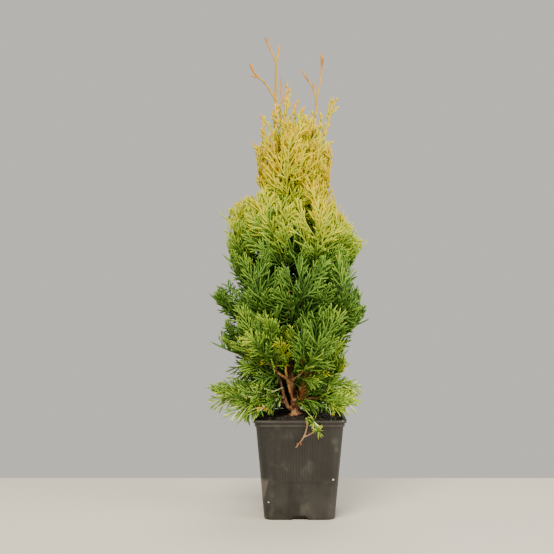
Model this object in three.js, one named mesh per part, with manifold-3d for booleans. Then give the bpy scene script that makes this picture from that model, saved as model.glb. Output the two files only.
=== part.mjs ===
// A young golden thuja in a square nursery pot, in millimetres, +Z up.
// The origin is the middle of the pot's flat underside, and -Y is the side that faces the viewer.
import * as THREE from "three";
import { mergeVertices } from "three/addons/utils/BufferGeometryUtils.js";
import Module from "manifold-3d";

const wasm = await Module();
wasm.setup();

const CLEARANCE = 0.3; // between pieces that meet
const HALVINGS = 30; // of a curve, to find where it crosses a height
const UP = new THREE.Vector3(0, 0, 1);

// Pot: a square tapered shell with a stepped rim, four drain notches and four drain holes.
const POT = {
  height: 98,
  baseWidth: 69,
  bodyTopWidth: 84.8,
  bandWidth: 87.2,
  bandHeight: 4,
  lipWidth: 90.4,
  lipHeight: 3,
  wall: 1.3,
  floor: 1.8,
  cornerRadius: 9,
  lipCornerRadius: 7,
  baseBevel: 1.2,
};
const NOTCH = { width: 16, topWidth: 12, height: 4.2, depth: 5, overcut: 1 };
const DRAIN = { radius: 4, offset: 22, sides: 10 };
const CORNER_STEPS = 3;

// Soil: nearly flush with the rim at the walls, and mounded up to the plant's foot.
const SOIL = {
  edge: 93.2,
  edgeEase: 0.3,
  shoulder: { height: 95.4, share: 0.62, corner: 15, rough: 0.7 },
  slope: { height: 97, share: 0.25, corner: 14, rough: 0.4 },
  top: 98,
  plateauWidth: 20,
  plateauCorner: 8,
  seed: 5,
};

// Stems, each a list of points that it passes, from its foot to its tip, with its two end radii. The
// trunk stands on the soil, and every other stem springs from it.
const GROUND = SOIL.top + CLEARANCE;
const ROOT_FLARE = { extra: 3.2, fade: 2.4, lobes: 3, lobeShare: 0.14 };
const STEMS = {
  trunk: {
    points: [[-4, 0, GROUND], [-6.5, 0, 125], [-11, 1, 180], [-15, 1, 240], [-19, 1, 300],
      [-21, 0, 360], [-23.5, 0, 412]],
    radii: [3.4, 0.95],
    sides: 8,
    segments: 18,
    crowding: 1.8,
  },
  right_leader: {
    host: "trunk",
    bearing: 10,
    points: [[7.5, 3, 124], [9.5, 4, 160], [8.5, 4, 230], [9, 2, 300], [13, 0, 360], [16, 0, 398]],
    foot: 107,
    radii: [2.6, 0.95],
    sides: 7,
    segments: 17,
  },
  left_stem: {
    host: "trunk",
    bearing: 188,
    points: [[-17, -4, 124], [-26, -7, 158], [-36, -7, 205], [-43, -4, 245]],
    foot: 105,
    radii: [2.2, 0.9],
    sides: 6,
    segments: 11,
  },
  front_stem: {
    host: "trunk",
    bearing: 262,
    points: [[-10, -10, 126], [-14, -13, 148], [-12, -17, 190], [-10, -19, 235]],
    foot: 107,
    radii: [1.8, 0.85],
    sides: 6,
    segments: 11,
  },
  back_stem: {
    host: "trunk",
    bearing: 84,
    points: [[-3, 12, 126], [-1, 19, 165], [-1, 22, 225], [-4, 20, 278]],
    foot: 106,
    radii: [2.1, 0.85],
    sides: 6,
    segments: 11,
  },
};

// A stem leaves the trunk outwards and turns up: points of the turn, out and up, in its own foot radii.
const FOOT_TURN = [[1.05, 0.45], [1.5, 1.35]];

// Arms: each springs from a stem at a height, or from the stem's tip, and ends at its own outermost
// spray. The bearing is seen from above: 0 right, 90 back, 180 left, 270 front. The reach is from the
// pot's middle. An arm with a bough is bare for the first part of its way.
const ARMS = [
  { name: "left_low", host: "left_stem", from: 111, bearing: 183, reach: 95, tip: 126, bough: true },
  { name: "left_front_low", host: "left_stem", from: 116, bearing: 213, reach: 73, tip: 92, bough: true },
  { name: "right_front_low", host: "front_stem", from: 113, bearing: 318, reach: 60, tip: 104, bough: true },
  { name: "right_low", host: "right_leader", from: 113, bearing: 356, reach: 63, tip: 112, bough: true },
  { name: "back_right_low", host: "back_stem", from: 112, bearing: 50, reach: 65, tip: 114, bough: true },
  { name: "back_left_low", host: "back_stem", from: 114, bearing: 130, reach: 71, tip: 112, bough: true },

  { name: "left_second", host: "left_stem", from: 150, bearing: 186, reach: 90, tip: 172, bough: true },
  { name: "front_left_second", host: "front_stem", from: 136, bearing: 230, reach: 66, tip: 174,
    bough: true },
  { name: "front_right_second", host: "front_stem", from: 131, bearing: 289, reach: 58, tip: 172,
    bough: true },
  { name: "right_second", host: "right_leader", from: 128, bearing: 349, reach: 54, tip: 152, bough: true },
  { name: "back_right_second", host: "back_stem", from: 136, bearing: 56, reach: 64, tip: 174 },
  { name: "back_left_second", host: "back_stem", from: 141, bearing: 134, reach: 70, tip: 168 },

  { name: "left_middle", host: "left_stem", from: 184, bearing: 181, reach: 91, tip: 220, bough: true },
  { name: "front_left_middle", host: "front_stem", from: 164, bearing: 229, reach: 69, tip: 238 },
  { name: "front_middle", host: "front_stem", from: 172, bearing: 274, reach: 58, tip: 232 },
  { name: "right_front_middle", host: "right_leader", from: 168, bearing: 319, reach: 62, tip: 228 },
  { name: "right_middle", host: "right_leader", from: 158, bearing: 357, reach: 67, tip: 199, bough: true },
  { name: "back_right_middle", host: "back_stem", from: 176, bearing: 60, reach: 62, tip: 234 },
  { name: "back_left_middle", host: "back_stem", from: 184, bearing: 127, reach: 67, tip: 232 },

  { name: "left_flank", host: "left_stem", from: 220, bearing: 180, reach: 70, tip: 262 },
  { name: "left_shoulder", host: "left_stem", bearing: 178, reach: 75, tip: 301 },
  { name: "front_left_shoulder", host: "front_stem", bearing: 232, reach: 57, tip: 304 },
  { name: "front_right_shoulder", host: "right_leader", from: 216, bearing: 293, reach: 50, tip: 300 },
  { name: "right_shoulder", host: "right_leader", from: 218, bearing: 1, reach: 69, tip: 273, bough: true },
  { name: "back_right_shoulder", host: "back_stem", from: 236, bearing: 62, reach: 53, tip: 296 },
  { name: "back_left_shoulder", host: "trunk", from: 226, bearing: 132, reach: 58, tip: 302 },

  { name: "left_upper", host: "trunk", from: 278, bearing: 181, reach: 45, tip: 366 },
  { name: "front_upper", host: "trunk", from: 276, bearing: 254, reach: 36, tip: 372 },
  { name: "right_upper", host: "right_leader", from: 270, bearing: 354, reach: 34, tip: 360 },
  { name: "right_flank", host: "right_leader", from: 250, bearing: 357, reach: 50, tip: 298 },
  { name: "back_upper", host: "back_stem", bearing: 100, reach: 34, tip: 366 },
  { name: "heart", host: "trunk", from: 322, bearing: 280, reach: 9, tip: 402 },

  { name: "right_heart", host: "right_leader", from: 296, bearing: 300, reach: 15, tip: 394 },
  { name: "right_crest", host: "right_leader", from: 338, bearing: 357, reach: 35, tip: 417 },
  { name: "left_crest", host: "trunk", from: 332, bearing: 184, reach: 38, tip: 400 },
  { name: "middle_crest", host: "trunk", from: 362, bearing: 175, reach: 11, tip: 434 },
];
const BOUGH = { share: 0.34, radii: [1.5, 0.95], sides: 5, segments: 3 };

// The elbow of an arm's curve: shares of the way out and of the rise, for an arm off a stem's side and
// for one that carries a stem's tip on. An arm that rises less than archBelow arches over the rim.
const ARM = {
  side: { out: 0.6, rise: 0.3 },
  onward: { out: 0.4, rise: 0.35 },
  arch: 9,
  archBelow: 25,
  radii: [1.1, 0.7],
  sides: 4,
  segments: 4,
  shortestStem: 0.35,
};

// A spray is a flat toothed fan on a thin twig, and stands for one fan of scaly branchlets.
// The fan's shares are of its own length: the first and last teeth, how far back the notch after a
// tooth lies, and the two thick hearts. Its width swells along part of a half wave.
const FAN = {
  thick: 1.5,
  first: 0.3,
  last: 0.84,
  stagger: 0.05,
  barb: 0.01,
  notchShare: 0.38,
  hearts: [0.18, 0.5],
  swell: [0.32, 0.76],
  slimAt: 0.35,
};
const SPRAY = {
  length: 54,
  halfWidth: 13.5,
  teeth: 3,
  twigRadius: 0.42,
  twigShare: 0.2,
  elbowShare: 0.5,
};

// How a mass is grown: sprays wind round its stem. Each is tried again, smaller and at a freer angle,
// until it fits. A pair of values holds for the first try and the last one.
const GROWTH = {
  fewest: 7,
  perMm: 1 / 12,
  reach: [0.1, 0.95],
  tries: 30,
  size: [1, 0.42],
  sizeAtTip: 0.85,
  sizeSpread: [0.92, 1.06],
  turn: 137.5,
  roll: [25, 110],
  angle: 42,
  angleSpread: [8, 26],
  onward: 0.3,
  lift: 0.22,
  swing: 80,
  rootZone: 2.5,
};

// The spray at an arm's tip turns its face to the viewer, and is as wide as the outline lets it be.
const TIP_SPRAY = { swing: 30, twigShare: 0.12, sunk: 3, widths: [1, 0.85, 0.7, 0.55], tipZone: 1 };
const VIEW_BEARING = 270;

// Space: how much nearer to its own arm than to any other a point of a mass is, and how far off limbs.
const SPACE = { own: 1.0, limb: 0.9, firstSeed: 0.06, seeds: 6, limbSteps: 40 };
const KEEP_OUT = { half: POT.lipWidth / 2 + 1.5, top: POT.height + 1.2 };

// The crown's outline: how far foliage reaches left, right, and to front and back, at each height.
const CROWN = [
  [84, 52, 42, 52],
  [100, 70, 52, 66],
  [126, 94, 58, 68],
  [148, 70, 50, 62],
  [172, 88, 58, 64],
  [192, 78, 69, 66],
  [218, 88, 65, 64],
  [238, 68, 60, 62],
  [262, 71, 58, 58],
  [276, 73, 66, 56],
  [300, 72, 50, 54],
  [316, 52, 40, 46],
  [366, 48, 36, 38],
  [400, 40, 39, 28],
  [420, 28, 38, 22],
  [440, 26, 20, 14],
].map(([height, left, right, depth]) => ({ height, left, right, depth }));

// Bare leader shoots above the crown. Each side shoot has its place along the leader, its bearing, its
// lean from upright and its length.
const LEADER_TIPS = [
  {
    name: "left_leader_tip",
    host: "trunk",
    axis: [[-23.6, 0, 430], [-24.5, 0, 450], [-32.5, -1, 477]],
    shoots: [
      { at: 0.6, bearing: 20, lean: 15, length: 21 },
      { at: 0.12, bearing: 182, lean: 41, length: 36 },
      { at: 0.85, bearing: 150, lean: 42, length: 9 },
    ],
  },
  {
    name: "right_leader_tip",
    host: "right_leader",
    axis: [[17.5, 0, 414], [20, 0, 434], [22.3, 1, 461]],
    shoots: [
      { at: 0.26, bearing: 184, lean: 30, length: 29 },
      { at: 0.6, bearing: 30, lean: 20, length: 12 },
    ],
  },
];
const SHOOT = {
  radii: [0.95, 0.75],
  sides: 4,
  segments: 6,
  leafLength: 9,
  leafHalfWidth: 1.5,
  leafThick: 1.5,
  bend: 0.08,
};

// Low sprig: a weak shoot from the soil at the plant's foot that hangs over the front rim, part of it dead.
const SPRIG = {
  stalk: [[3, -8, GROUND], [3.4, -10.5, 103], [5, -25, 105.5], [8.3, -43, 102], [9.5, -48.5, 96]],
  hanging: [[9.5, -48.5, 96], [7, -48, 87], [3, -46.8, 79], [-3.5, -45.8, 71.5]],
  branch: [[6.3, -47.8, 86], [12, -49, 85.5], [18, -50, 90]],
  radii: [0.8, 0.55],
  sides: 3,
  segments: 5,
  tuft: { count: 5, firstAngle: 23, forward: 0.35, length: 7.5, halfWidth: 1.8, twigShare: 0.3 },
};

const COLOURS = {
  potPlastic: 0x35322f,
  soil: 0x1d1612,
  bark: 0x6d4c3a,
  green: 0x5d8a27,
  lime: 0x8fa933,
  gold: 0xc9b52f,
  shoot: 0xb58a3c,
};

// A mass is gold or lime where its tip is above these heights, and green below them.
const GOLD_ABOVE = 330;
const LIME_ABOVE = 250;

const material = (color, roughness = 0.75, metalness = 0) =>
  new THREE.MeshStandardMaterial({ color, roughness, metalness });
const vector = ([x, y, z]) => new THREE.Vector3(x, y, z);
const radians = THREE.MathUtils.degToRad;
const mix = THREE.MathUtils.lerp;

// A level unit vector at a bearing seen from above.
const towards = (bearing) =>
  new THREE.Vector3(Math.cos(radians(bearing)), Math.sin(radians(bearing)), 0);

// Random numbers from 0 to 1 that come in the same order on every run.
const MODULUS = 2147483647;
const MULTIPLIER = 48271;
const SEED_STEP = 7919;
const SEED_START = 12345;
const BURN_IN = 3;
function seeded(seed) {
  let state = (seed * SEED_STEP + SEED_START) % MODULUS;
  const next = () => {
    state = (state * MULTIPLIER) % MODULUS;
    return state / MODULUS;
  };
  for (let i = 0; i < BURN_IN; i++) next();
  return next;
}
const between = (random, low, high) => low + (high - low) * random();

function geometryOf(positions, index) {
  const geometry = new THREE.BufferGeometry();
  geometry.setAttribute("position", new THREE.Float32BufferAttribute(positions, 3));
  geometry.setIndex(index);
  return geometry;
}

// A closed surface through a stack of rings with equally many points, capped at both ends.
function loft(rings) {
  const count = rings[0].length;
  const positions = rings.flat().flatMap((p) => [p.x, p.y, p.z]);
  const index = [];
  for (let k = 0; k + 1 < rings.length; k++)
    for (let i = 0; i < count; i++) {
      const a = k * count + i;
      const b = k * count + ((i + 1) % count);
      index.push(a, b, b + count, a, b + count, a + count);
    }
  const last = (rings.length - 1) * count;
  for (let i = 1; i + 1 < count; i++)
    index.push(0, i + 1, i, last, last + i, last + i + 1);
  return geometryOf(positions, index);
}

function solidOf(geometry) {
  const bare = geometry.clone();
  bare.deleteAttribute("normal");
  bare.deleteAttribute("uv");
  const merged = mergeVertices(bare);
  return new wasm.Manifold(
    new wasm.Mesh({
      numProp: 3,
      vertProperties: merged.getAttribute("position").array,
      triVerts: new Uint32Array(merged.index.array),
    }),
  );
}

// The largest body of a solid, without sealed hollows or loose scraps.
function mainBody(solid) {
  return solid.decompose().reduce((a, b) => (a.volume() > b.volume() ? a : b));
}

function geometryFrom(solid) {
  const { numProp, vertProperties, triVerts } = solid.getMesh();
  const positions = [];
  for (let i = 0; i < vertProperties.length; i += numProp)
    positions.push(...vertProperties.subarray(i, i + 3));
  return geometryOf(positions, [...triVerts]);
}

const fused = (solids) => mainBody(wasm.Manifold.union(solids));

// A unit vector square to an axis, as near to the hint as it can be.
function squareTo(axis, hint) {
  const side = hint.clone().addScaledVector(axis, -hint.dot(axis));
  if (side.lengthSq() < 1e-6) side.set(axis.y, axis.z, axis.x).cross(axis);
  return side.normalize();
}

// A tapering limb along a curve. Its foot lies square to footNormal, so that it can stand against a host.
// A crowding over 1 draws its rings together near the foot.
function limb(curve, radiusAt, sides, segments, footNormal, crowding = 1) {
  const rings = [];
  let side = squareTo(curve.getTangent(0), new THREE.Vector3(1, 0.2, 0));
  for (let k = 0; k <= segments; k++) {
    const t = (k / segments) ** crowding;
    const axis = k === 0 && footNormal ? footNormal : curve.getTangent(t);
    side = squareTo(axis, side);
    const other = axis.clone().cross(side);
    const centre = curve.getPoint(t);
    const ring = [];
    for (let i = 0; i < sides; i++) {
      const angle = (2 * Math.PI * i) / sides;
      const radius = radiusAt(t, angle);
      ring.push(
        centre
          .clone()
          .addScaledVector(side, radius * Math.cos(angle))
          .addScaledVector(other, radius * Math.sin(angle)),
      );
    }
    rings.push(ring);
  }
  return loft(rings);
}

const taper = ([start, end]) => (t) => mix(start, end, t);
const curveThrough = (points) => new THREE.CatmullRomCurve3(points, false, "centripetal");

// One spray: a thin three-sided twig that opens into a flat fan. The rib bends from root to tip. The
// fan's outline is a knife edge, and its two hearts are the thick parts.
function spray({ root, elbow, tip, side, twigRadius, twigShare, halfWidth, teeth, thick = FAN.thick }) {
  const rib = new THREE.QuadraticBezierCurve3(root, elbow, tip);
  const vertices = [];
  const add = (t, across, up) => {
    const tangent = rib.getTangent(t);
    const level = squareTo(tangent, side);
    const point = rib.getPoint(t).addScaledVector(level, across);
    return vertices.push(point.addScaledVector(tangent.clone().cross(level), up)) - 1;
  };
  const ring = (t) => [
    add(t, twigRadius, -twigRadius / 2),
    add(t, 0, twigRadius),
    add(t, -twigRadius, -twigRadius / 2),
  ];
  const foot = ring(0);
  const neck = ring(twigShare);
  const along = (share) => mix(twigShare, 1, share);
  const apex = add(1, 0, 0);
  const edge = (hand) => {
    const points = [hand > 0 ? neck[0] : neck[2]];
    for (let k = 0; k < teeth; k++) {
      const share = teeth > 1 ? k / (teeth - 1) : FAN.slimAt;
      const at = mix(FAN.first, FAN.last, share) - (hand < 0 ? FAN.stagger : 0);
      const across = hand * halfWidth * Math.sin(Math.PI * mix(...FAN.swell, share));
      points.push(add(along(at), across, 0));
      if (teeth > 1) points.push(add(along(at - FAN.barb), across * FAN.notchShare, 0));
    }
    return [...points, apex];
  };
  const [left, right] = [edge(1), edge(-1)];
  const hearts = (up) => FAN.hearts.map((at) => add(along(at), 0, up));
  const [top, bottom] = [hearts(thick / 2), hearts(-thick / 2)];

  const index = [foot[0], foot[2], foot[1]];
  for (let i = 0; i < foot.length; i++) {
    const j = (i + 1) % foot.length;
    index.push(foot[i], foot[j], neck[j], foot[i], neck[j], neck[i]);
  }
  // Each side of the fan is covered from its first heart up to the turn, and from its second one after it.
  const turn = Math.min(teeth, 2);
  const cover = ([first, second], outline, flip) => {
    const face = (a, b, c) => index.push(a, ...(flip ? [c, b] : [b, c]));
    for (let j = 0; j + 1 < outline.length; j++) {
      if (j === turn) face(first, second, outline[j]);
      face(j < turn ? first : second, outline[j + 1], outline[j]);
    }
  };
  cover(top, left, false);
  cover(top, right, true);
  cover(bottom, left, true);
  cover(bottom, right, false);
  index.push(neck[1], top[0], neck[0], neck[1], neck[2], top[0], bottom[0], neck[2], neck[0]);
  return { vertices, geometry: geometryOf(vertices.flatMap((p) => [p.x, p.y, p.z]), index) };
}

// A level ring with rounded corners, anticlockwise from above.
function roundedSquare(width, corner, height) {
  const ring = [];
  const inset = width / 2 - corner;
  for (let quarter = 0; quarter < 4; quarter++)
    for (let k = 0; k <= CORNER_STEPS; k++) {
      const angle = (quarter + k / CORNER_STEPS) * (Math.PI / 2);
      const middle = (quarter + 0.5) * (Math.PI / 2);
      ring.push(
        new THREE.Vector3(
          Math.sign(Math.cos(middle)) * inset + corner * Math.cos(angle),
          Math.sign(Math.sin(middle)) * inset + corner * Math.sin(angle),
          height,
        ),
      );
    }
  return ring;
}

const LIP_BOTTOM = POT.height - POT.lipHeight;
const BAND_BOTTOM = LIP_BOTTOM - POT.bandHeight;

// The width of the shell's body at a height, measured outside the wall.
const bodyWidth = (height) =>
  height < BAND_BOTTOM
    ? mix(POT.baseWidth, POT.bodyTopWidth, height / BAND_BOTTOM)
    : mix(POT.bodyTopWidth, POT.bandWidth, (height - BAND_BOTTOM) / (POT.height - BAND_BOTTOM));

function potGeometry() {
  const shell = solidOf(
    loft([
      roundedSquare(POT.baseWidth - 2 * POT.baseBevel, POT.cornerRadius - POT.baseBevel, 0),
      roundedSquare(bodyWidth(POT.baseBevel), POT.cornerRadius, POT.baseBevel),
      roundedSquare(POT.bodyTopWidth, POT.cornerRadius, BAND_BOTTOM),
      roundedSquare(POT.bandWidth, POT.cornerRadius, BAND_BOTTOM),
      roundedSquare(POT.bandWidth, POT.cornerRadius, LIP_BOTTOM),
      roundedSquare(POT.lipWidth, POT.lipCornerRadius, LIP_BOTTOM),
      roundedSquare(POT.lipWidth, POT.lipCornerRadius, POT.height),
      roundedSquare(POT.bandWidth - 2 * POT.wall, POT.cornerRadius - POT.wall, POT.height),
      roundedSquare(POT.bodyTopWidth - 2 * POT.wall, POT.cornerRadius - POT.wall, BAND_BOTTOM),
      roundedSquare(bodyWidth(POT.floor) - 2 * POT.wall, POT.cornerRadius - POT.wall, POT.floor),
    ]),
  );
  const arch = new THREE.Shape([
    new THREE.Vector2(-NOTCH.width / 2, -NOTCH.overcut),
    new THREE.Vector2(NOTCH.width / 2, -NOTCH.overcut),
    new THREE.Vector2(NOTCH.topWidth / 2, NOTCH.height),
    new THREE.Vector2(-NOTCH.topWidth / 2, NOTCH.height),
  ]);
  const cuts = [];
  for (let quarter = 0; quarter < 4; quarter++) {
    const turn = new THREE.Matrix4().makeRotationZ((quarter * Math.PI) / 2);
    const depth = NOTCH.depth + NOTCH.overcut;
    const notch = new THREE.ExtrudeGeometry(arch, { depth, bevelEnabled: false });
    notch.rotateX(Math.PI / 2).translate(0, -POT.baseWidth / 2 + NOTCH.depth, 0).applyMatrix4(turn);
    const drain = new THREE.CylinderGeometry(DRAIN.radius, DRAIN.radius, 3 * POT.floor, DRAIN.sides);
    drain.rotateX(Math.PI / 2).translate(DRAIN.offset, DRAIN.offset, 0).applyMatrix4(turn);
    cuts.push(solidOf(notch), solidOf(drain));
  }
  return geometryFrom(mainBody(cuts.reduce((left, cut) => left.subtract(cut), shell)));
}

// Soil fills the shell to just under the rim, with rough rings that mound up to a level top.
function soilGeometry() {
  const width = (height) => bodyWidth(height) - 2 * (POT.wall + CLEARANCE);
  const corner = POT.cornerRadius - POT.wall;
  const bottom = POT.floor + CLEARANCE;
  const random = seeded(SOIL.seed);
  const rough = (ring, depth) => ring.map((p) => p.setZ(p.z + between(random, -depth, depth)));
  const mound = (ring) => {
    const across = mix(SOIL.plateauWidth, width(SOIL.edge), ring.share);
    return rough(roundedSquare(across, ring.corner, ring.height), ring.rough);
  };
  return loft([
    roundedSquare(width(bottom), corner, bottom),
    roundedSquare(width(BAND_BOTTOM), corner, BAND_BOTTOM),
    roundedSquare(width(SOIL.edge) - SOIL.edgeEase, corner, SOIL.edge),
    mound(SOIL.shoulder),
    mound(SOIL.slope),
    roundedSquare(SOIL.plateauWidth, SOIL.plateauCorner, SOIL.top),
  ]);
}

// Where a curve crosses a height, by halving.
function atHeight(curve, height) {
  let low = 0;
  let high = 1;
  for (let i = 0; i < HALVINGS; i++) {
    const middle = (low + high) / 2;
    if (curve.getPoint(middle).z < height) low = middle;
    else high = middle;
  }
  return low;
}

// The point 0.3 mm off a stem's skin at a height and bearing, with the direction square to the stem there.
// A foot of some radius also clears the wider part of the stem just below it.
function footOn(stem, height, bearing, radius) {
  const t = atHeight(stem.curve, height);
  const normal = squareTo(stem.curve.getTangent(t), towards(bearing));
  const widest = stem.radiusAt(atHeight(stem.curve, height - radius), 0);
  const point = stem.curve.getPoint(t).addScaledVector(normal, widest + CLEARANCE);
  return { point, normal };
}

// The trunk's radius: its taper, with a lobed flare that fades upwards from the soil.
const flaredRadius = (curve, radii) => (t, angle) => {
  const flare = Math.exp((GROUND - curve.getPoint(t).z) / ROOT_FLARE.fade);
  const lobes = 1 + ROOT_FLARE.lobeShare * flare * Math.cos(ROOT_FLARE.lobes * angle);
  return (mix(...radii, t) + ROOT_FLARE.extra * flare) * lobes;
};

const limbs = {};
function growStem(name, { points, host, foot, bearing, radii, sides, segments, crowding }) {
  const way = points.map(vector);
  let normal = UP;
  if (host) {
    const start = footOn(limbs[host], foot, bearing, radii[0]);
    normal = start.normal;
    const turn = FOOT_TURN.map(([out, up]) =>
      start.point.clone().addScaledVector(normal, out * radii[0]).addScaledVector(UP, up * radii[0]));
    way.unshift(start.point, ...turn);
  }
  const curve = curveThrough(way);
  const radiusAt = host ? taper(radii) : flaredRadius(curve, radii);
  limbs[name] = { curve, radiusAt, geometry: limb(curve, radiusAt, sides, segments, normal, crowding) };
}

// Where an arm that carries on from its stem's tip begins.
function onwardFoot({ curve }) {
  const normal = curve.getTangent(1);
  return { normal, point: curve.getPoint(1).addScaledVector(normal, CLEARANCE) };
}

// Where an arm off a stem's side begins: on the side that faces the arm's tip.
function sideFoot(host, { from, bough }, tip) {
  const off = tip.clone().sub(host.curve.getPoint(atHeight(host.curve, from)));
  const bearing = THREE.MathUtils.radToDeg(Math.atan2(off.y, off.x));
  return footOn(host, from, bearing, bough ? BOUGH.radii[0] : ARM.radii[0]);
}

// The way of an arm from its stem to its tip: outwards first, then up.
function armCurve(arm) {
  const host = limbs[arm.host];
  const tip = towards(arm.bearing).multiplyScalar(arm.reach).setZ(arm.tip);
  const { point, normal } = arm.from ? sideFoot(host, arm, tip) : onwardFoot(host);
  const { out, rise } = arm.from ? ARM.side : ARM.onward;
  const climb = Math.max(tip.z - point.z, 0);
  const elbow = point.clone().lerp(tip, out);
  elbow.z = point.z + climb * rise + ARM.arch * Math.max(0, 1 - climb / ARM.archBelow);
  return { curve: new THREE.QuadraticBezierCurve3(point, elbow, tip), normal };
}

// The part of a quadratic curve from one share of its way to another.
function partOf(curve, start, end) {
  const from = curve.getPoint(start);
  const slope = curve.v1.clone().sub(curve.v0).lerp(curve.v2.clone().sub(curve.v1), start);
  const elbow = from.clone().addScaledVector(slope, end - start);
  return new THREE.QuadraticBezierCurve3(from, elbow, curve.getPoint(end));
}

// An arm's own bough, where it has one, and the rest of its way, which is the stem of its mass.
function layOutArm(arm, row) {
  const { curve, normal } = armCurve(arm);
  if (!arm.bough) return { ...arm, row, stem: curve, normal };
  const bough = partOf(curve, 0, BOUGH.share);
  const radiusAt = taper(BOUGH.radii);
  const geometry = limb(bough, radiusAt, BOUGH.sides, BOUGH.segments, normal);
  limbs["bough_" + arm.name] = { curve: bough, radiusAt, geometry };
  return { ...arm, row, stem: partOf(curve, BOUGH.share + CLEARANCE / curve.getLength(), 1), normal: null };
}

// Every limb as short straight pieces with their radii.
function limbPieces() {
  return Object.values(limbs).flatMap(({ curve, radiusAt }) => {
    const points = curve.getPoints(SPACE.limbSteps);
    return points.slice(1).map((to, k) => ({
      line: new THREE.Line3(points[k], to),
      radius: radiusAt(k / SPACE.limbSteps, 0),
    }));
  });
}

const inPot = ({ x, y, z }) => Math.max(Math.abs(x), Math.abs(y)) < KEEP_OUT.half && z < KEEP_OUT.top;

// Whether a point lies within the crown's outline, which is made of quarter ellipses at every height.
function inCrown(point) {
  const at = CROWN.findIndex((row) => row.height > point.z);
  if (at < 0) return false;
  const above = CROWN[Math.max(at, 1)];
  const below = CROWN[Math.max(at, 1) - 1];
  const share = THREE.MathUtils.clamp((point.z - below.height) / (above.height - below.height), 0, 1);
  const size = (key) => mix(below[key], above[key], share);
  const across = point.x / size(point.x < 0 ? "left" : "right");
  return across ** 2 + (point.y / size("depth")) ** 2 < 1;
}

function nearestSeed(seeds, point) {
  return seeds.reduce((best, seed) => Math.min(best, seed.distanceTo(point)), Infinity);
}

// The edges' middles and the vertices of a piece, which stand for the whole of it.
function probes({ geometry, vertices }) {
  const index = geometry.index.array;
  const points = [...vertices];
  for (let i = 0; i < index.length; i += 3)
    for (const [a, b] of [[0, 1], [1, 2], [2, 0]])
      if (index[i + a] < index[i + b])
        points.push(vertices[index[i + a]].clone().lerp(vertices[index[i + b]], 0.5));
  return points;
}

// The test that every point of a piece has to pass: it lies in the crown, clear of the pot and of the
// limbs, and nearer to its own arm than to any other.
function makeFits(arms, pieces) {
  const place = (_, k) => mix(SPACE.firstSeed, 1, k / (SPACE.seeds - 1));
  const places = Array.from({ length: SPACE.seeds }, place);
  const seeds = arms.map(({ stem }) => places.map((share) => stem.getPoint(share)));
  const nearest = new THREE.Vector3();
  const clearOf = (point) => ({ line, radius }) =>
    line.closestPointToPoint(point, true, nearest).distanceTo(point) > radius + SPACE.limb;
  const fitsOne = (row, point) => {
    if (inPot(point) || !inCrown(point)) return false;
    const own = nearestSeed(seeds[row], point) + SPACE.own;
    const isOwn = seeds.every((others, k) => k === row || nearestSeed(others, point) >= own);
    return isOwn && pieces.every(clearOf(point));
  };
  return (row, points) => points.every((point) => fitsOne(row, point));
}

function tipSpray({ row, stem }, stemEnd, normal, fits) {
  const tip = stem.getPoint(1);
  const shape = {
    root: stem.getPoint(stemEnd - TIP_SPRAY.sunk / stem.getLength()),
    elbow: stem.getPoint((1 + stemEnd) / 2),
    tip,
    side: tip.clone().sub(stem.getPoint(stemEnd)).cross(normal),
    twigRadius: SPRAY.twigRadius,
    twigShare: TIP_SPRAY.twigShare,
    teeth: SPRAY.teeth,
  };
  const made = TIP_SPRAY.widths.map((share) => spray({ ...shape, halfWidth: share * SPRAY.halfWidth }));
  const inside = ({ vertices }) => fits(row, vertices.filter((p) => p.distanceTo(tip) > TIP_SPRAY.tipZone));
  return made.find(inside) ?? made.at(-1);
}

// One try at a spray: the effort runs from 0, at full size and at the set angle, to 1.
function sideSpray(stem, t, bearing, roll, effort, random) {
  const swerve = (range) => between(random, -1, 1) * mix(...range, effort);
  const tapered = mix(...GROWTH.size, effort) * mix(1, GROWTH.sizeAtTip, t);
  const size = tapered * between(random, ...GROWTH.sizeSpread);
  const tangent = stem.getTangent(t);
  const level = squareTo(tangent, towards(bearing + 90));
  const turned = radians(roll + swerve(GROWTH.roll));
  const angle = radians(GROWTH.angle + swerve(GROWTH.angleSpread));
  const sideways = level.clone().multiplyScalar(Math.cos(turned))
    .addScaledVector(tangent.clone().cross(level), Math.sin(turned));
  const away = tangent.clone().multiplyScalar(Math.cos(angle)).addScaledVector(sideways, Math.sin(angle));
  const onward = away.clone().addScaledVector(tangent, GROWTH.onward).addScaledVector(UP, GROWTH.lift);
  onward.normalize();
  const length = SPRAY.length * size;
  const root = stem.getPoint(t);
  const elbow = root.clone().addScaledVector(away, length * SPRAY.elbowShare);
  return spray({
    root,
    elbow,
    tip: elbow.clone().addScaledVector(onward, length * (1 - SPRAY.elbowShare)),
    side: onward.clone().cross(towards(VIEW_BEARING + between(random, -1, 1) * GROWTH.swing)),
    twigRadius: SPRAY.twigRadius,
    twigShare: SPRAY.twigShare,
    halfWidth: SPRAY.halfWidth * size,
    teeth: SPRAY.teeth,
  });
}

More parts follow.
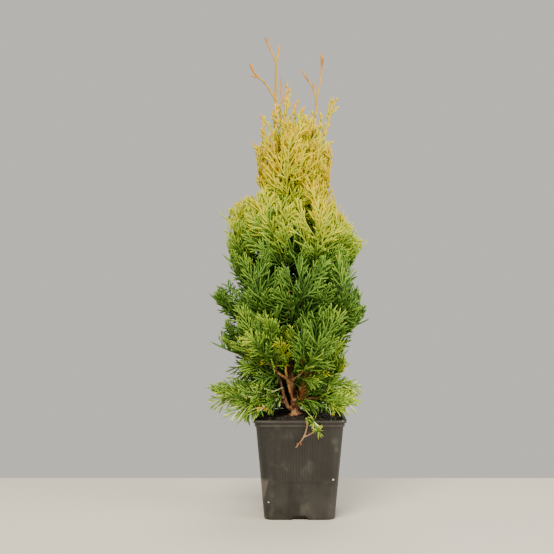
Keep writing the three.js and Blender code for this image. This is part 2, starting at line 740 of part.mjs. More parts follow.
// One mass of foliage: a stem with sprays to all sides of it that don't cross, and one more at its tip.
function growMass(arm, fits) {
  const random = seeded(arm.row + 1);
  const length = arm.stem.getLength();
  const stemEnd = Math.max(ARM.shortestStem, 1 - SPRAY.length / length);
  const stem = partOf(arm.stem, 0, stemEnd);
  const face = towards(VIEW_BEARING + between(random, -1, 1) * TIP_SPRAY.swing);
  const sprays = [solidOf(tipSpray(arm, stemEnd, face, fits).geometry)];
  const count = Math.max(GROWTH.fewest, Math.round(length * GROWTH.perMm));
  for (let k = 0; k < count; k++) {
    const t = mix(...GROWTH.reach, k / (count - 1));
    const root = stem.getPoint(t);
    for (let attempt = 0; attempt < GROWTH.tries; attempt++) {
      const made = sideSpray(stem, t, arm.bearing, GROWTH.turn * k, attempt / (GROWTH.tries - 1), random);
      if (!fits(arm.row, probes(made).filter((p) => p.distanceTo(root) > GROWTH.rootZone))) continue;
      const solid = solidOf(made.geometry);
      if (sprays.some((other) => other.intersect(solid).volume() > 0)) continue;
      sprays.push(solid);
      break;
    }
  }
  return fused([solidOf(limb(stem, taper(ARM.radii), ARM.sides, ARM.segments, arm.normal)), ...sprays]);
}

// A slim shoot of scale leaves, thin along its way and a little thicker at its end.
function slimShoot(root, heading, length) {
  const elbow = root.clone().addScaledVector(heading, length / 2);
  return spray({
    root,
    elbow,
    tip: elbow.clone().addScaledVector(heading, length / 2).addScaledVector(UP, length * SHOOT.bend),
    side: new THREE.Vector3(1, 0, 0),
    twigRadius: SHOOT.radii[0],
    twigShare: 1 - SHOOT.leafLength / length,
    halfWidth: SHOOT.leafHalfWidth,
    teeth: 1,
    thick: SHOOT.leafThick,
  });
}

// A bare leader shoot with a few side shoots, each with a slim end of scale leaves.
function growLeaderTip({ host, axis, shoots }) {
  const { point, normal } = onwardFoot(limbs[host]);
  const leader = curveThrough([point, ...axis.map(vector)]);
  const side = shoots.map(({ at, bearing, lean, length }) => {
    const heading = towards(bearing).multiplyScalar(Math.sin(radians(lean))).setZ(Math.cos(radians(lean)));
    return solidOf(slimShoot(leader.getPoint(at), heading, length).geometry);
  });
  return fused([solidOf(limb(leader, taper(SHOOT.radii), SHOOT.sides, SHOOT.segments, normal)), ...side]);
}

function growSprig() {
  const { stalk, hanging, branch, radii, sides, segments, tuft } = SPRIG;
  const stalks = [stalk, hanging, branch].map((points, k) =>
    solidOf(limb(curveThrough(points.map(vector)), taper(radii), sides, segments, k === 0 ? UP : null)));
  const centre = vector(branch.at(-1));
  const leaves = Array.from({ length: tuft.count }, (_, k) => {
    const angle = radians(tuft.firstAngle + (360 * k) / tuft.count);
    const heading = new THREE.Vector3(Math.cos(angle), -tuft.forward, Math.sin(angle)).normalize();
    return solidOf(spray({
      root: centre,
      elbow: centre.clone().addScaledVector(heading, tuft.length / 2),
      tip: centre.clone().addScaledVector(heading, tuft.length),
      side: new THREE.Vector3(-Math.sin(angle), tuft.forward, Math.cos(angle)),
      twigRadius: radii[1],
      twigShare: tuft.twigShare,
      halfWidth: tuft.halfWidth,
      teeth: 1,
    }).geometry);
  });
  return fused([...stalks, ...leaves]);
}

const plant = new THREE.Group();
function show(name, geometry, finish) {
  const mesh = new THREE.Mesh(geometry, finish);
  mesh.name = name;
  plant.add(mesh);
}

const FINISH = {
  pot: material(COLOURS.potPlastic, 0.42),
  soil: material(COLOURS.soil, 0.95),
  bark: material(COLOURS.bark, 0.85),
  green: material(COLOURS.green, 0.55),
  lime: material(COLOURS.lime, 0.55),
  gold: material(COLOURS.gold, 0.55),
  shoot: material(COLOURS.shoot, 0.6),
};
function foliageFinish({ tip }) {
  if (tip > GOLD_ABOVE) return FINISH.gold;
  return tip > LIME_ABOVE ? FINISH.lime : FINISH.green;
}

show("pot", potGeometry(), FINISH.pot);
show("soil", soilGeometry(), FINISH.soil);
for (const [name, sizes] of Object.entries(STEMS)) growStem(name, sizes);
const arms = ARMS.map(layOutArm);
for (const [name, { geometry }] of Object.entries(limbs)) show(name, geometry, FINISH.bark);
const fits = makeFits(arms, limbPieces());
for (const arm of arms) show("foliage_" + arm.name, geometryFrom(growMass(arm, fits)), foliageFinish(arm));
for (const leader of LEADER_TIPS) show(leader.name, geometryFrom(growLeaderTip(leader)), FINISH.shoot);
show("low_sprig", geometryFrom(growSprig()), FINISH.green);

export default plant;
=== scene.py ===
"""A young golden thuja in a square nursery pot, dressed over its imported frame.

Sizes are in millimetres while a piece is worked out, and in metres once it is a mesh. +Z is up, and
-Y faces the viewer. The stems, boughs and masses of foliage grow by the same rule and from the same
sizes as the solids do, and are carried on to finer twigs here.
"""

import logging
import math
from dataclasses import dataclass, replace
from enum import Enum
from typing import Any, Callable, Iterable, Sequence

import bpy
import numpy as np
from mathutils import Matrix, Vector, noise


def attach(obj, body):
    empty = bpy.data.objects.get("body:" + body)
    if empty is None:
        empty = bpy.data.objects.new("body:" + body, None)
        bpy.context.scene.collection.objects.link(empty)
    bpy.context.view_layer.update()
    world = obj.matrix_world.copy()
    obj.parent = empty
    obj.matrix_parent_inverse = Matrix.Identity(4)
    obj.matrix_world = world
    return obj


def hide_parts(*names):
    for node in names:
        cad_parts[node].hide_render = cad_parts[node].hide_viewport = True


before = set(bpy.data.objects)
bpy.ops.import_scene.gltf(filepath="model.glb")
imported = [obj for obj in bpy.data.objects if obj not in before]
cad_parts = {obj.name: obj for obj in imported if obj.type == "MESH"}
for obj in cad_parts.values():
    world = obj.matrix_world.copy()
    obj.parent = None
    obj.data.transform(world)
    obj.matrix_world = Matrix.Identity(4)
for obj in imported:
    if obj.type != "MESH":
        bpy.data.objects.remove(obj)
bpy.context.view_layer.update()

logging.basicConfig(level=logging.INFO, format="%(message)s")
log = logging.getLogger("thuja")

BODY = "root"
METRES = 0.001
CLEARANCE = 0.3
UP = np.array([0.0, 0.0, 1.0])
FIRST_SIDE = np.array([1.0, 0.2, 0.0])
MOST_TRIANGLES = 190_000
Array = np.ndarray
Random = np.random.RandomState
Pair = tuple[float, float]
Triple = tuple[float, float, float]
Colour = Triple


def mix(first: Any, second: Any, share: Any) -> Any:
    """The value that lies a share of the way from the first to the second."""
    return first + (second - first) * share


def unit(vectors: Array) -> Array:
    """The vectors at length 1."""
    return vectors / np.maximum(np.linalg.norm(vectors, axis=-1, keepdims=True), 1e-9)


def towards(bearing: float) -> Array:
    """A level unit vector at a bearing seen from above, in degrees."""
    angle = math.radians(bearing)
    return np.array([math.cos(angle), math.sin(angle), 0.0])


def square_to(axis: Array, hint: Array) -> Array:
    """The unit vectors square to an axis that lie nearest to a hint.

    Args:
        axis: The axis or axes, at length 1.
        hint: The direction to stay near.

    Returns:
        The vectors.
    """
    across = hint - axis * np.sum(hint * axis, axis=-1, keepdims=True)
    spare = np.cross(np.stack([axis[..., 1], axis[..., 2], axis[..., 0]], -1), axis)
    weak = np.sum(across**2, axis=-1, keepdims=True) < 1e-6
    return unit(np.where(weak, spare, across))


def smooth(low: float, high: float, value: Array) -> Array:
    """0 below low, 1 above high, and an S between them."""
    share = np.clip((value - low) / (high - low), 0, 1)
    return share * share * (3 - 2 * share)


def around(count: int) -> Array:
    """So many angles, spread evenly round a circle."""
    return np.linspace(0, 2 * np.pi, count, endpoint=False)


def read(table: Sequence[Pair], place: float) -> float:
    """What a table of places and values gives for a place between its rows."""
    return float(np.interp(place, *zip(*table)))


def linear(code: str) -> Colour:
    """The linear colour of a six-digit web colour."""
    parts = [int(code[k : k + 2], 16) / 255 for k in (0, 2, 4)]
    return tuple(p / 12.92 if p <= 0.04045 else ((p + 0.055) / 1.055) ** 2.4 for p in parts)


class Draw:
    """Random numbers from 0 to 1, in the same order on every run and the same as in the source."""

    MODULUS = 2147483647
    MULTIPLIER = 48271
    SEED_STEP = 7919
    SEED_START = 12345
    BURN_IN = 3

    def __init__(self, seed: int) -> None:
        """Starts the numbers from a seed.

        Args:
            seed: Chooses the row of numbers.
        """
        self.state = (seed * self.SEED_STEP + self.SEED_START) % self.MODULUS
        for _ in range(self.BURN_IN):
            self.next()

    def next(self) -> float:
        """The next number."""
        self.state = (self.state * self.MULTIPLIER) % self.MODULUS
        return self.state / self.MODULUS

    def between(self, low: float, high: float) -> float:
        """The next number, spread from low to high."""
        return low + (high - low) * self.next()


class Curve:
    """A line through space that is read at a share of its way."""

    STEP = 0.0001
    DIVISIONS = 200

    def point(self, share: Any) -> Array:
        """The points at these shares of the way."""
        raise NotImplementedError

    def tangent(self, share: Any) -> Array:
        """The unit directions at these shares of the way.

        Args:
            share: The shares of the way, from 0 to 1.

        Returns:
            A direction for each.
        """
        share = np.asarray(share, float)
        ahead = self.point(np.minimum(share + self.STEP, 1))
        return unit(ahead - self.point(np.maximum(share - self.STEP, 0)))

    def length(self) -> float:
        """The length of the whole way."""
        points = self.point(np.linspace(0, 1, self.DIVISIONS + 1))
        return float(np.linalg.norm(np.diff(points, axis=0), axis=1).sum())


@dataclass(frozen=True)
class Bend(Curve):
    """A quadratic curve from a start to an end, drawn towards an elbow."""

    start: Array
    elbow: Array
    end: Array

    def point(self, share: Any) -> Array:
        """The points at these shares of the way."""
        t = np.asarray(share, float)[..., None]
        return mix(mix(self.start, self.elbow, t), mix(self.elbow, self.end, t), t)

    def part(self, first: float, last: float) -> "Bend":
        """The stretch of the curve from one share to another.

        Args:
            first: Where the stretch begins.
            last: Where it ends.

        Returns:
            The stretch.
        """
        start = self.point(first)
        slope = mix(self.elbow - self.start, self.end - self.elbow, first)
        return Bend(start, start + slope * (last - first), self.point(last))


@dataclass(frozen=True)
class Way(Curve):
    """A smooth curve through a list of points, spaced by the root of their distances."""

    stops: Array

    def point(self, share: Any) -> Array:
        """The points at these shares of the way.

        Args:
            share: The shares of the way, from 0 to 1.

        Returns:
            A point for each.
        """
        stops = self.stops
        last = len(stops) - 1
        place = np.clip(np.asarray(share, float), 0, 1) * last
        k = np.minimum(np.floor(place).astype(int), last - 1)
        t = (place - k)[..., None]
        padded = np.vstack([2 * stops[0] - stops[1], stops, 2 * stops[-1] - stops[-2]])
        a, b, c, d = (padded[k + offset] for offset in range(4))
        gaps = ((a, b), (b, c), (c, d))
        ab, bc, cd = (np.linalg.norm(q - p, axis=-1, keepdims=True) ** 0.5 for p, q in gaps)
        leave = ((b - a) / ab - (c - a) / (ab + bc) + (c - b) / bc) * bc
        arrive = ((c - b) / bc - (d - b) / (bc + cd) + (d - c) / cd) * bc
        square = -3 * b + 3 * c - 2 * leave - arrive
        cube = 2 * b - 2 * c + leave + arrive
        return b + t * (leave + t * (square + t * cube))


class Slot(Enum):
    """The record's material slots."""

    POT = "pot_plastic"
    SOIL = "potting_soil"
    BARK = "bark"
    GREEN = "foliage_green"
    LIME = "foliage_lime"
    GOLD = "foliage_gold"
    SHOOT = "bare_shoot"


class Shade:
    """One output of a shader node. Python's operators on it add Math nodes."""

    def __init__(self, paint: "Paint", socket: bpy.types.NodeSocket) -> None:
        """Wraps a socket of the paint's node tree."""
        self.paint = paint
        self.socket = socket

    def math(self, operation: str, *values: Any) -> "Shade":
        """A Math node on these values."""
        return self.paint.node("ShaderNodeMath", {"operation": operation}, dict(enumerate(values)))

    def __add__(self, other: Any) -> "Shade":
        """self + other."""
        return self.math("ADD", self, other)

    def __sub__(self, other: Any) -> "Shade":
        """self - other."""
        return self.math("SUBTRACT", self, other)

    def __rsub__(self, other: Any) -> "Shade":
        """other - self."""
        return self.math("SUBTRACT", other, self)

    def __mul__(self, other: Any) -> "Shade":
        """self * other."""
        return self.math("MULTIPLY", self, other)

    __radd__ = __add__
    __rmul__ = __mul__

    def step(self, low: float, high: float, first: float = 0.0, last: float = 1.0) -> "Shade":
        """Runs smoothly from first to last while the value runs from low to high.

        Args:
            low: The value at which it leaves first.
            high: The value at which it reaches last.
            first: What it gives up to low.
            last: What it gives from high on.

        Returns:
            The mapped value.
        """
        settings = {"interpolation_type": "SMOOTHSTEP"}
        inputs = {"Value": self, "From Min": low, "From Max": high, "To Min": first, "To Max": last}
        return self.paint.node("ShaderNodeMapRange", settings, inputs)


class Paint:
    """The node tree of one material, on a Principled shader."""

    def __init__(self, name: str) -> None:
        """Starts an empty material with its shader and output.

        Args:
            name: The material's name.
        """
        self.material = bpy.data.materials.new(name)
        self.material.use_nodes = True
        self.tree = self.material.node_tree
        self.tree.nodes.clear()
        self.shader = self.tree.nodes.new("ShaderNodeBsdfPrincipled")
        output = self.tree.nodes.new("ShaderNodeOutputMaterial")
        self.tree.links.new(self.shader.outputs[0], output.inputs[0])
        coordinates = self.tree.nodes.new("ShaderNodeTexCoord")
        self.place = Shade(self, coordinates.outputs["Object"])

    def feed(self, socket: bpy.types.NodeSocket, value: Any) -> None:
        """Links or sets one input.

        Args:
            socket: The input.
            value: A shade to link, or a value to set.
        """
        if isinstance(value, Shade):
            self.tree.links.new(value.socket, socket)
        elif isinstance(value, tuple) and socket.type == "RGBA":
            socket.default_value = (*value, 1.0)
        else:
            socket.default_value = value

    def node(
        self, kind: str, settings: dict[str, Any], inputs: dict[Any, Any], output: Any = 0
    ) -> Shade:
        """Adds a node of any type.

        Args:
            kind: The node's type.
            settings: Its settings, set first. "stops" are a ramp's places and colours.
            inputs: Values or links of its sockets, by name or number.
            output: The name or number of the output to hand back.

        Returns:
            The wrapped output.
        """
        made = self.tree.nodes.new(kind)
        for key, value in settings.items():
            if key == "stops":
                self.set_stops(made.color_ramp, value)
            else:
                setattr(made, key, value)
        for key, value in inputs.items():
            self.feed(made.inputs[key], value)
        return Shade(self, made.outputs[output])

    @staticmethod
    def set_stops(ramp: bpy.types.ColorRamp, stops: Sequence[tuple[float, Colour]]) -> None:
        """Gives a ramp its stops, each a place and a colour.

        Args:
            ramp: The ramp.
            stops: Its stops, from left to right.
        """
        while len(ramp.elements) < len(stops):
            ramp.elements.new(1.0)
        for element, (place, colour) in zip(ramp.elements, stops):
            element.position = place
            element.color = (*colour, 1.0)

    def noise(self, scale: float, detail: float = 2.0, stretch: Triple = (1, 1, 1)) -> Shade:
        """A noise from 0 to 1, with so many cells to the metre, stretched along the axes."""
        where = self.node("ShaderNodeVectorMath", {"operation": "MULTIPLY"}, {0: self.place, 1: stretch})
        return self.node("ShaderNodeTexNoise", {}, {"Vector": where, "Scale": scale, "Detail": detail})

    def cells(self, scale: float) -> Shade:
        """The distance to the nearest of scattered points."""
        return self.node("ShaderNodeTexVoronoi", {}, {"Vector": self.place, "Scale": scale})

    def along(self, axis: str) -> Shade:
        """The object's coordinate along X, Y or Z, in metres."""
        return self.node("ShaderNodeSeparateXYZ", {}, {0: self.place}, axis)

    def ramp(self, factor: Shade, stops: Sequence[tuple[float, Colour]]) -> Shade:
        """A colour from a ramp."""
        return self.node("ShaderNodeValToRGB", {"stops": stops}, {"Fac": factor})

    def blend(self, factor: Any, first: Any, second: Any) -> Shade:
        """A colour between two colours."""
        inputs = {0: factor, 6: first, 7: second}
        return self.node("ShaderNodeMix", {"data_type": "RGBA"}, inputs, 2)

    def bump(self, height: Shade, strength: float, distance: float) -> Shade:
        """A normal from a height, with its depth in millimetres."""
        inputs = {"Height": height, "Strength": strength, "Distance": distance * METRES}
        return self.node("ShaderNodeBump", {}, inputs)

    def finish(self, **inputs: Any) -> bpy.types.Material:
        """Feeds the shader and hands back the material. A socket's name has _ for each space.

        Args:
            inputs: Shades or values, by socket.

        Returns:
            The material.
        """
        for name, value in inputs.items():
            self.feed(self.shader.inputs[name.replace("_", " ")], value)
        return self.material


@dataclass(frozen=True)
class LeafFinish:
    """Waxy scale leaves of one tint. The tint is plain, and only its gloss and grain vary."""

    name: str
    colour: Colour
    roughness: float = 0.58

    def material(self) -> bpy.types.Material:
        """Makes the material.

        Returns:
            The material.
        """
        paint = Paint(self.name)
        grain = paint.noise(900, 1)
        return paint.finish(
            Base_Color=self.colour,
            Roughness=grain.step(0.3, 0.7, self.roughness - 0.08, self.roughness + 0.1),
            Specular_IOR_Level=0.12,
            Normal=paint.bump(grain, 0.35, 0.12),
        )


@dataclass(frozen=True)
class BarkFinish:
    """Fibrous young bark that turns from its foot's colours to its upper ones between two heights.

    The heights are in metres, and each pair of colours is a dark and a light one.
    """

    name: str
    foot: tuple[str, str]
    upper: tuple[str, str]
    low: float = 0.105
    high: float = 0.2

    def material(self) -> bpy.types.Material:
        """Makes the material.

        Returns:
            The material.
        """
        paint = Paint(self.name)
        fibre = paint.noise(420, 4, (1, 1, 0.09))
        patch = paint.noise(130, 2, (1, 1, 0.45))
        rise = paint.along("Z").step(self.low, self.high)
        dark = paint.blend(rise, linear(self.foot[0]), linear(self.upper[0]))
        light = paint.blend(rise, linear(self.foot[1]), linear(self.upper[1]))
        tone = (fibre * 0.65 + patch * 0.35).step(0.36, 0.62)
        return paint.finish(
            Base_Color=paint.blend(tone, dark, light),
            Roughness=tone.step(0, 1, 0.92, 0.68),
            Specular_IOR_Level=0.3,
            Normal=paint.bump(fibre, 0.9, 0.3),
        )


@dataclass(frozen=True)
class SoilFinish:
    """Moist, crumbly potting soil or bits of it."""

    name: str
    codes: tuple[str, str, str]
    roughness: float = 0.9
    places: Triple = (0.3, 0.55, 0.78)

    def material(self) -> bpy.types.Material:
        """Makes the material.

        Returns:
            The material.
        """
        paint = Paint(self.name)
        lumps = paint.noise(330, 5)
        crumbs = paint.cells(700)
        colours = [(place, linear(code)) for place, code in zip(self.places, self.codes)]
        return paint.finish(
            Base_Color=paint.ramp(lumps * 0.75 + crumbs * 0.3, colours),
            Roughness=lumps.step(0.3, 0.7, self.roughness - 0.2, self.roughness + 0.08),
            Specular_IOR_Level=0.4,
            Normal=paint.bump(lumps + crumbs * 0.5, 1.0, 1.2),
        )


@dataclass(frozen=True)
class PotFinish:
    """Thin charcoal plastic, satin, with dusty smudges, fine scratches and chalky streaks, and with light and
    shade painted on: painted highlights on two rim bands and the front left corner, a painted shadow line
    below the ribs and painted shade on the left flank.

    Its places are in metres: heights, or how far left (-X) or forward (-Y) of the pot's middle.
    """

    name: str = "charcoal_plastic"
    dark: str = "161310"
    base: str = "22201c"
    dust_and_highlight: str = "5d574f"
    shadow: str = "0d0b0a"
    # Heights of two painted highlight bands round the rim.
    rim_highlight_heights: Pair = (0.0967, 0.0925)
    line_half: float = 0.0009
    # Painted shadow: a dark line below the ribs. Painted shade: the darker left flank.
    shadow_line: float = 0.0366
    line_reach: Pair = (0.02, 0.019)
    line_depth: float = 0.55
    flank: Pair = (-0.029, -0.036)
    flank_depth: float = 0.7
    grime_top: float = 0.045
    taper: float = 0.2
    # Where the painted highlight on the front left corner lies, low down.
    highlight_left: Pair = (-0.0372, -0.0395)
    highlight_front: Pair = (-0.029, -0.031)
    highlight_foot: Pair = (0.016, 0.028)
    scuff_top: Pair = (0.042, 0.037)

    def material(self) -> bpy.types.Material:
        """Makes the material.

        Returns:
            The material.
        """
        paint = Paint(self.name)
        left, deep, height = (paint.along(axis) for axis in "XYZ")
        cloud = paint.noise(38, 3)
        streak = paint.noise(230, 2, (1, 1, 0.06))
        smudge = paint.noise(85, 4, (1, 1, 0.7)).step(0.56, 0.74)
        scratch = paint.noise(1500, 1, (1, 1, 0.02)).step(0.66, 0.74)
        grime = height.step(0.0, self.grime_top, 1.0, 0.0) * cloud.step(0.4, 0.62)
        # Painted highlights: two light bands round the rim.
        rim_highlight = self.band(height, self.rim_highlight_heights[0]) + self.band(height, self.rim_highlight_heights[1])
        rim_highlight = rim_highlight * cloud.step(0.3, 0.6, 0.4, 0.65)
        # Painted highlight on the front left corner, low down.
        corner_highlight = self.painted_corner_highlight(left, deep, height) * cloud.step(0.3, 0.55, 0.25, 0.75)
        # Real smudges, dust and scratches, plus the painted highlights, all take the light dust colour.
        dust_and_highlight_share = smudge * 0.3 + grime * 0.22 + scratch * 0.12 + rim_highlight + corner_highlight
        mottled = (cloud * 0.6 + streak * 0.4).step(0.35, 0.65)
        tone = paint.blend(mottled, linear(self.dark), linear(self.base))
        # Painted shade: the shadow line below the ribs and the darker left flank, blended towards the shadow
        # colour.
        tone = paint.blend(self.painted_shade(left, deep, height) * 0.85, tone, linear(self.shadow))
        return paint.finish(
            Base_Color=paint.blend(dust_and_highlight_share, tone, linear(self.dust_and_highlight)),
            Roughness=cloud.step(0.3, 0.7, 0.34, 0.46) + smudge * 0.16 + grime * 0.12,
            Specular_IOR_Level=0.5,
            Normal=paint.bump(paint.noise(1300, 2) + streak * 0.8, 0.25, 0.12),
        )

    def band(self, height: Shade, at: float) -> Shade:
        """A soft level band round one height."""
        half = self.line_half
        return height.step(at - half, at) * height.step(at + half, at)

    def painted_shade(self, left: Shade, deep: Shade, height: Shade) -> Shade:
        """Where shade is painted: a painted shadow line below the ribs, and painted shade on the left flank.

        Args:
            left: The place across.
            deep: The place along Y.
            height: The height.

        Returns:
            From 0 to 1.
        """
        nearest = left.math("MINIMUM", left.math("ABSOLUTE", left), left.math("ABSOLUTE", deep))
        line = self.band(height, self.shadow_line) * nearest.step(*self.line_reach)
        return line * self.line_depth + left.step(*self.flank) * self.flank_depth

    def painted_corner_highlight(self, left: Shade, deep: Shade, height: Shade) -> Shade:
        """Where a painted highlight lies on the front left corner, low down."""
        corner = (left - height * self.taper).step(*self.highlight_left) * deep.step(*self.highlight_front)
        return corner * height.step(*self.highlight_foot) * height.step(*self.scuff_top)


@dataclass(frozen=True)
class StageFinish:
    """A plain matt surface under or behind the plant."""

    name: str
    code: str
    darker: float = 0.97

    def material(self) -> bpy.types.Material:
        """Makes the material.

        Returns:
            The material.
        """
        paint = Paint(self.name)
        tone = linear(self.code)
        low = tuple(part * self.darker for part in tone)
        return paint.finish(Base_Color=paint.blend(paint.noise(240, 3), low, tone), Roughness=0.85)


class Tint(Enum):
    """The named leaf tints: their place in the row of finishes and their colour."""

    SHADE = (0, "1c2f10")
    DEEP = (2, "37561c")
    GREEN = (4, "557a2c")
    FRESH = (6, "82a335")
    LIME = (8, "b4c030")
    YELLOW = (10, "cabf06")
    GOLD = (12, "d6ad02")
    AMBER = (14, "d28c06")
    PALE = (15, "ccd788")
    WITHERED = (16, "8a5630")

    @property
    def place(self) -> int:
        """The tint's place in the row of finishes."""
        return self.value[0]


def leaf_finishes() -> list[LeafFinish]:
    """The row of leaf finishes, with one between each two neighbours that lie two places apart.

    Returns:
        The finishes, darkest first.
    """
    row = []
    for tint, after in zip(Tint, [*list(Tint)[1:], None]):
        colour = linear(tint.value[1])
        row.append(LeafFinish("leaf_" + tint.name.lower(), colour))
        if after and after.place - tint.place == 2:
            middle = tuple((a + b) / 2 for a, b in zip(colour, linear(after.value[1])))
            row.append(LeafFinish(f"leaf_{tint.name.lower()}_to_{after.name.lower()}", middle))
    return row


LEAVES = leaf_finishes()


def made(finish: Any) -> bpy.types.Material:
    """The material of a finish, made once."""
    return bpy.data.materials.get(finish.name) or finish.material()


def placed(name: str, data: Any) -> bpy.types.Object:
    """A new object in the scene.

    Args:
        name: Its name.
        data: Its mesh, light or camera.

    Returns:
        The object.
    """
    thing = bpy.data.objects.new(name, data)
    bpy.context.scene.collection.objects.link(thing)
    return thing


@dataclass
class Shape:
    """A mesh as it is put together: its vertices in millimetres, its faces by their corner count."""

    vertices: Array
    faces: list[Array]
    slots: list[Array] | None = None

    @staticmethod
    def joined(shapes: Sequence["Shape"]) -> "Shape":
        """Several shapes as one. A shape without material numbers takes number 0.

        Args:
            shapes: The shapes.

        Returns:
            The one shape.
        """
        offsets = np.cumsum([0] + [len(shape.vertices) for shape in shapes])
        faces: list[Array] = []
        slots: list[Array] = []
        for shape, offset in zip(shapes, offsets):
            numbers = shape.slots or [np.zeros(len(block), int) for block in shape.faces]
            faces += [block + offset for block in shape.faces]
            slots += numbers
        return Shape(np.vstack([shape.vertices for shape in shapes]), faces, slots)

    def triangles(self) -> int:
        """How many triangles the shape has."""
        return sum(len(block) * (block.shape[1] - 2) for block in self.faces)

    def piece(
        self, name: str, finishes: Sequence[Any], slot: Slot, nodes: Iterable[str] = (), edge: float = 0
    ) -> bpy.types.Object:
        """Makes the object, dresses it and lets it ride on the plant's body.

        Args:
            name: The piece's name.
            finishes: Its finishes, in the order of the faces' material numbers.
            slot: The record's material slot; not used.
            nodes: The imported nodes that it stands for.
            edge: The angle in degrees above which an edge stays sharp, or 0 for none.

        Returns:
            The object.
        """
        mesh = bpy.data.meshes.new(name)
        sizes = np.concatenate([np.full(len(block), block.shape[1]) for block in self.faces])
        corners = np.concatenate([block.ravel() for block in self.faces])
        mesh.vertices.add(len(self.vertices))
        mesh.vertices.foreach_set("co", (self.vertices * METRES).astype(np.float32).ravel())
        mesh.loops.add(len(corners))
        mesh.loops.foreach_set("vertex_index", corners.astype(np.int32))
        mesh.polygons.add(len(sizes))
        mesh.polygons.foreach_set("loop_start", (np.cumsum(sizes) - sizes).astype(np.int32))
        if self.slots:
            mesh.polygons.foreach_set("material_index", np.concatenate(self.slots).astype(np.int32))
        mesh.update(calc_edges=True)
        mesh.validate()
        for finish in finishes:
            mesh.materials.append(made(finish))
        mesh.shade_smooth()
        if edge:
            mesh.set_sharp_from_angle(angle=math.radians(edge))
        thing = placed(name, mesh)
        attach(thing, BODY)
        if nodes:
            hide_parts(*nodes)
        log.info("%s: %d triangles", name, self.triangles())
        return thing


def loft(rings: Array) -> Shape:
    """A closed skin through a stack of rings, with a fan about the middle of each end.

    Args:
        rings: The rings' points, anticlockwise about the way, as rings by points by 3.

    Returns:
        The skin.
    """
    count, sides = rings.shape[:2]
    at = np.arange(sides)
    after = (at + 1) % sides
    first = (np.arange(count - 1) * sides)[:, None]
    quads = np.stack([first + at, first + after, first + after + sides, first + at + sides], -1)
    last = (count - 1) * sides
    foot, top = (np.full(sides, count * sides + end) for end in (0, 1))
    caps = np.vstack([np.stack([after, at, foot], -1), np.stack([last + at, last + after, top], -1)])
    vertices = np.vstack([rings.reshape(-1, 3), rings[:1].mean(1), rings[-1:].mean(1)])
    return Shape(vertices, [quads.reshape(-1, 4), caps])


def swept(middles: Array, axes: Array, radii: Array) -> Shape:
    """A closed skin round a middle line.

    Args:
        middles: The rings' middles.
        axes: The line's directions there.
        radii: The radii, as rings by points.

    Returns:
        The skin.
    """
    angles = around(radii.shape[1])[:, None]
    side = FIRST_SIDE
    rings = []
    for middle, axis, radius in zip(middles, axes, radii):
        side = square_to(axis, side)
        ring = np.cos(angles) * side + np.sin(angles) * np.cross(axis, side)
        rings.append(middle + radius[:, None] * ring)
    return loft(np.array(rings))


@dataclass
class Blades:
    """Many slim, flattened branchlets of scale leaves, a row for each."""

    start: Array
    elbow: Array
    end: Array
    side: Array
    half_width: Array
    half_thick: Array
    tint: Array

    LONG = (0.0, 0.3, 0.6, 0.86)
    LONG_WIDTH = (0.8, 1.0, 0.95, 0.7)
    SHORT = (0.0, 0.62)
    SHORT_WIDTH = (0.85, 0.95)
    LONG_FROM = 9.5
    LAST_FRESH = Tint.AMBER.place
    LEAST_THICK = 0.4

    @staticmethod
    def joined(many: Sequence["Blades"]) -> "Blades":
        """Several lists of branchlets as one."""
        return Blades(*map(np.concatenate, zip(*(vars(one).values() for one in many))))

    def kept(self, mask: Array) -> "Blades":
        """Only the branchlets that the mask keeps."""
        return Blades(*(column[mask] for column in vars(self).values()))

    def shape(self) -> Shape:
        """The branchlets' closed mesh, with their tints as material numbers.

        Returns:
            The mesh.
        """
        long = np.linalg.norm(self.end - self.start, axis=1) > self.LONG_FROM
        parts = []
        if long.any():
            parts.append(self.kept(long).skins(self.LONG, self.LONG_WIDTH))
        if not long.all():
            parts.append(self.kept(~long).skins(self.SHORT, self.SHORT_WIDTH))
        return Shape.joined(parts)

    def skins(self, shares: Sequence[float], widths: Sequence[float]) -> Shape:
        """Skins of one number of rings: four-sided, scalloped along their edges, and pointed.

        Args:
            shares: Where along each branchlet its rings lie.
            widths: How wide each ring is, as a share.

        Returns:
            The mesh, with tints as material numbers.
        """
        count, rings = len(self.start), len(shares)
        at = np.array(shares)[None]
        curve = Bend(self.start[:, None], self.elbow[:, None], self.end[:, None])
        middle, axis = curve.point(at), curve.tangent(at)
        level = square_to(axis, self.side[:, None])
        swell = np.array(widths)[None, :, None]
        wide = level * self.half_width[:, None, None] * swell
        thick = np.cross(axis, level) * self.half_thick[:, None, None]
        thick = thick * (self.LEAST_THICK + (1 - self.LEAST_THICK) * swell)
        ring = np.stack([middle + wide, middle + thick, middle - wide, middle - thick], 2)
        vertices = np.concatenate([ring.reshape(count, -1, 3), self.end[:, None]], 1).reshape(-1, 3)
        step = np.arange(rings - 1)[:, None] * 4
        a = np.arange(4)[None, :]
        b = (a + 1) % 4
        quads = np.stack([step + a, step + b, step + b + 4, step + a + 4], -1).reshape(-1, 4)
        quads = np.vstack([quads, [[3, 2, 1, 0]]])
        last = (rings - 1) * 4
        tips = np.stack([last + a[0], last + b[0], np.full(4, last + 4)], -1)
        base = (np.arange(count) * (last + 5))[:, None, None]
        faces = [(quads[None] + base).reshape(-1, 4), (tips[None] + base).reshape(-1, 3)]
        fresher = np.where(self.tint < self.LAST_FRESH, self.tint + 1, self.tint)
        darker = np.where((self.tint > 0) & (self.tint <= self.LAST_FRESH), self.tint - 1, self.tint)
        tints = np.repeat(self.tint[:, None], len(quads), 1)
        tints[:, :4] = darker[:, None]
        return Shape(vertices, faces, [tints.ravel(), np.repeat(fresher, 4)])


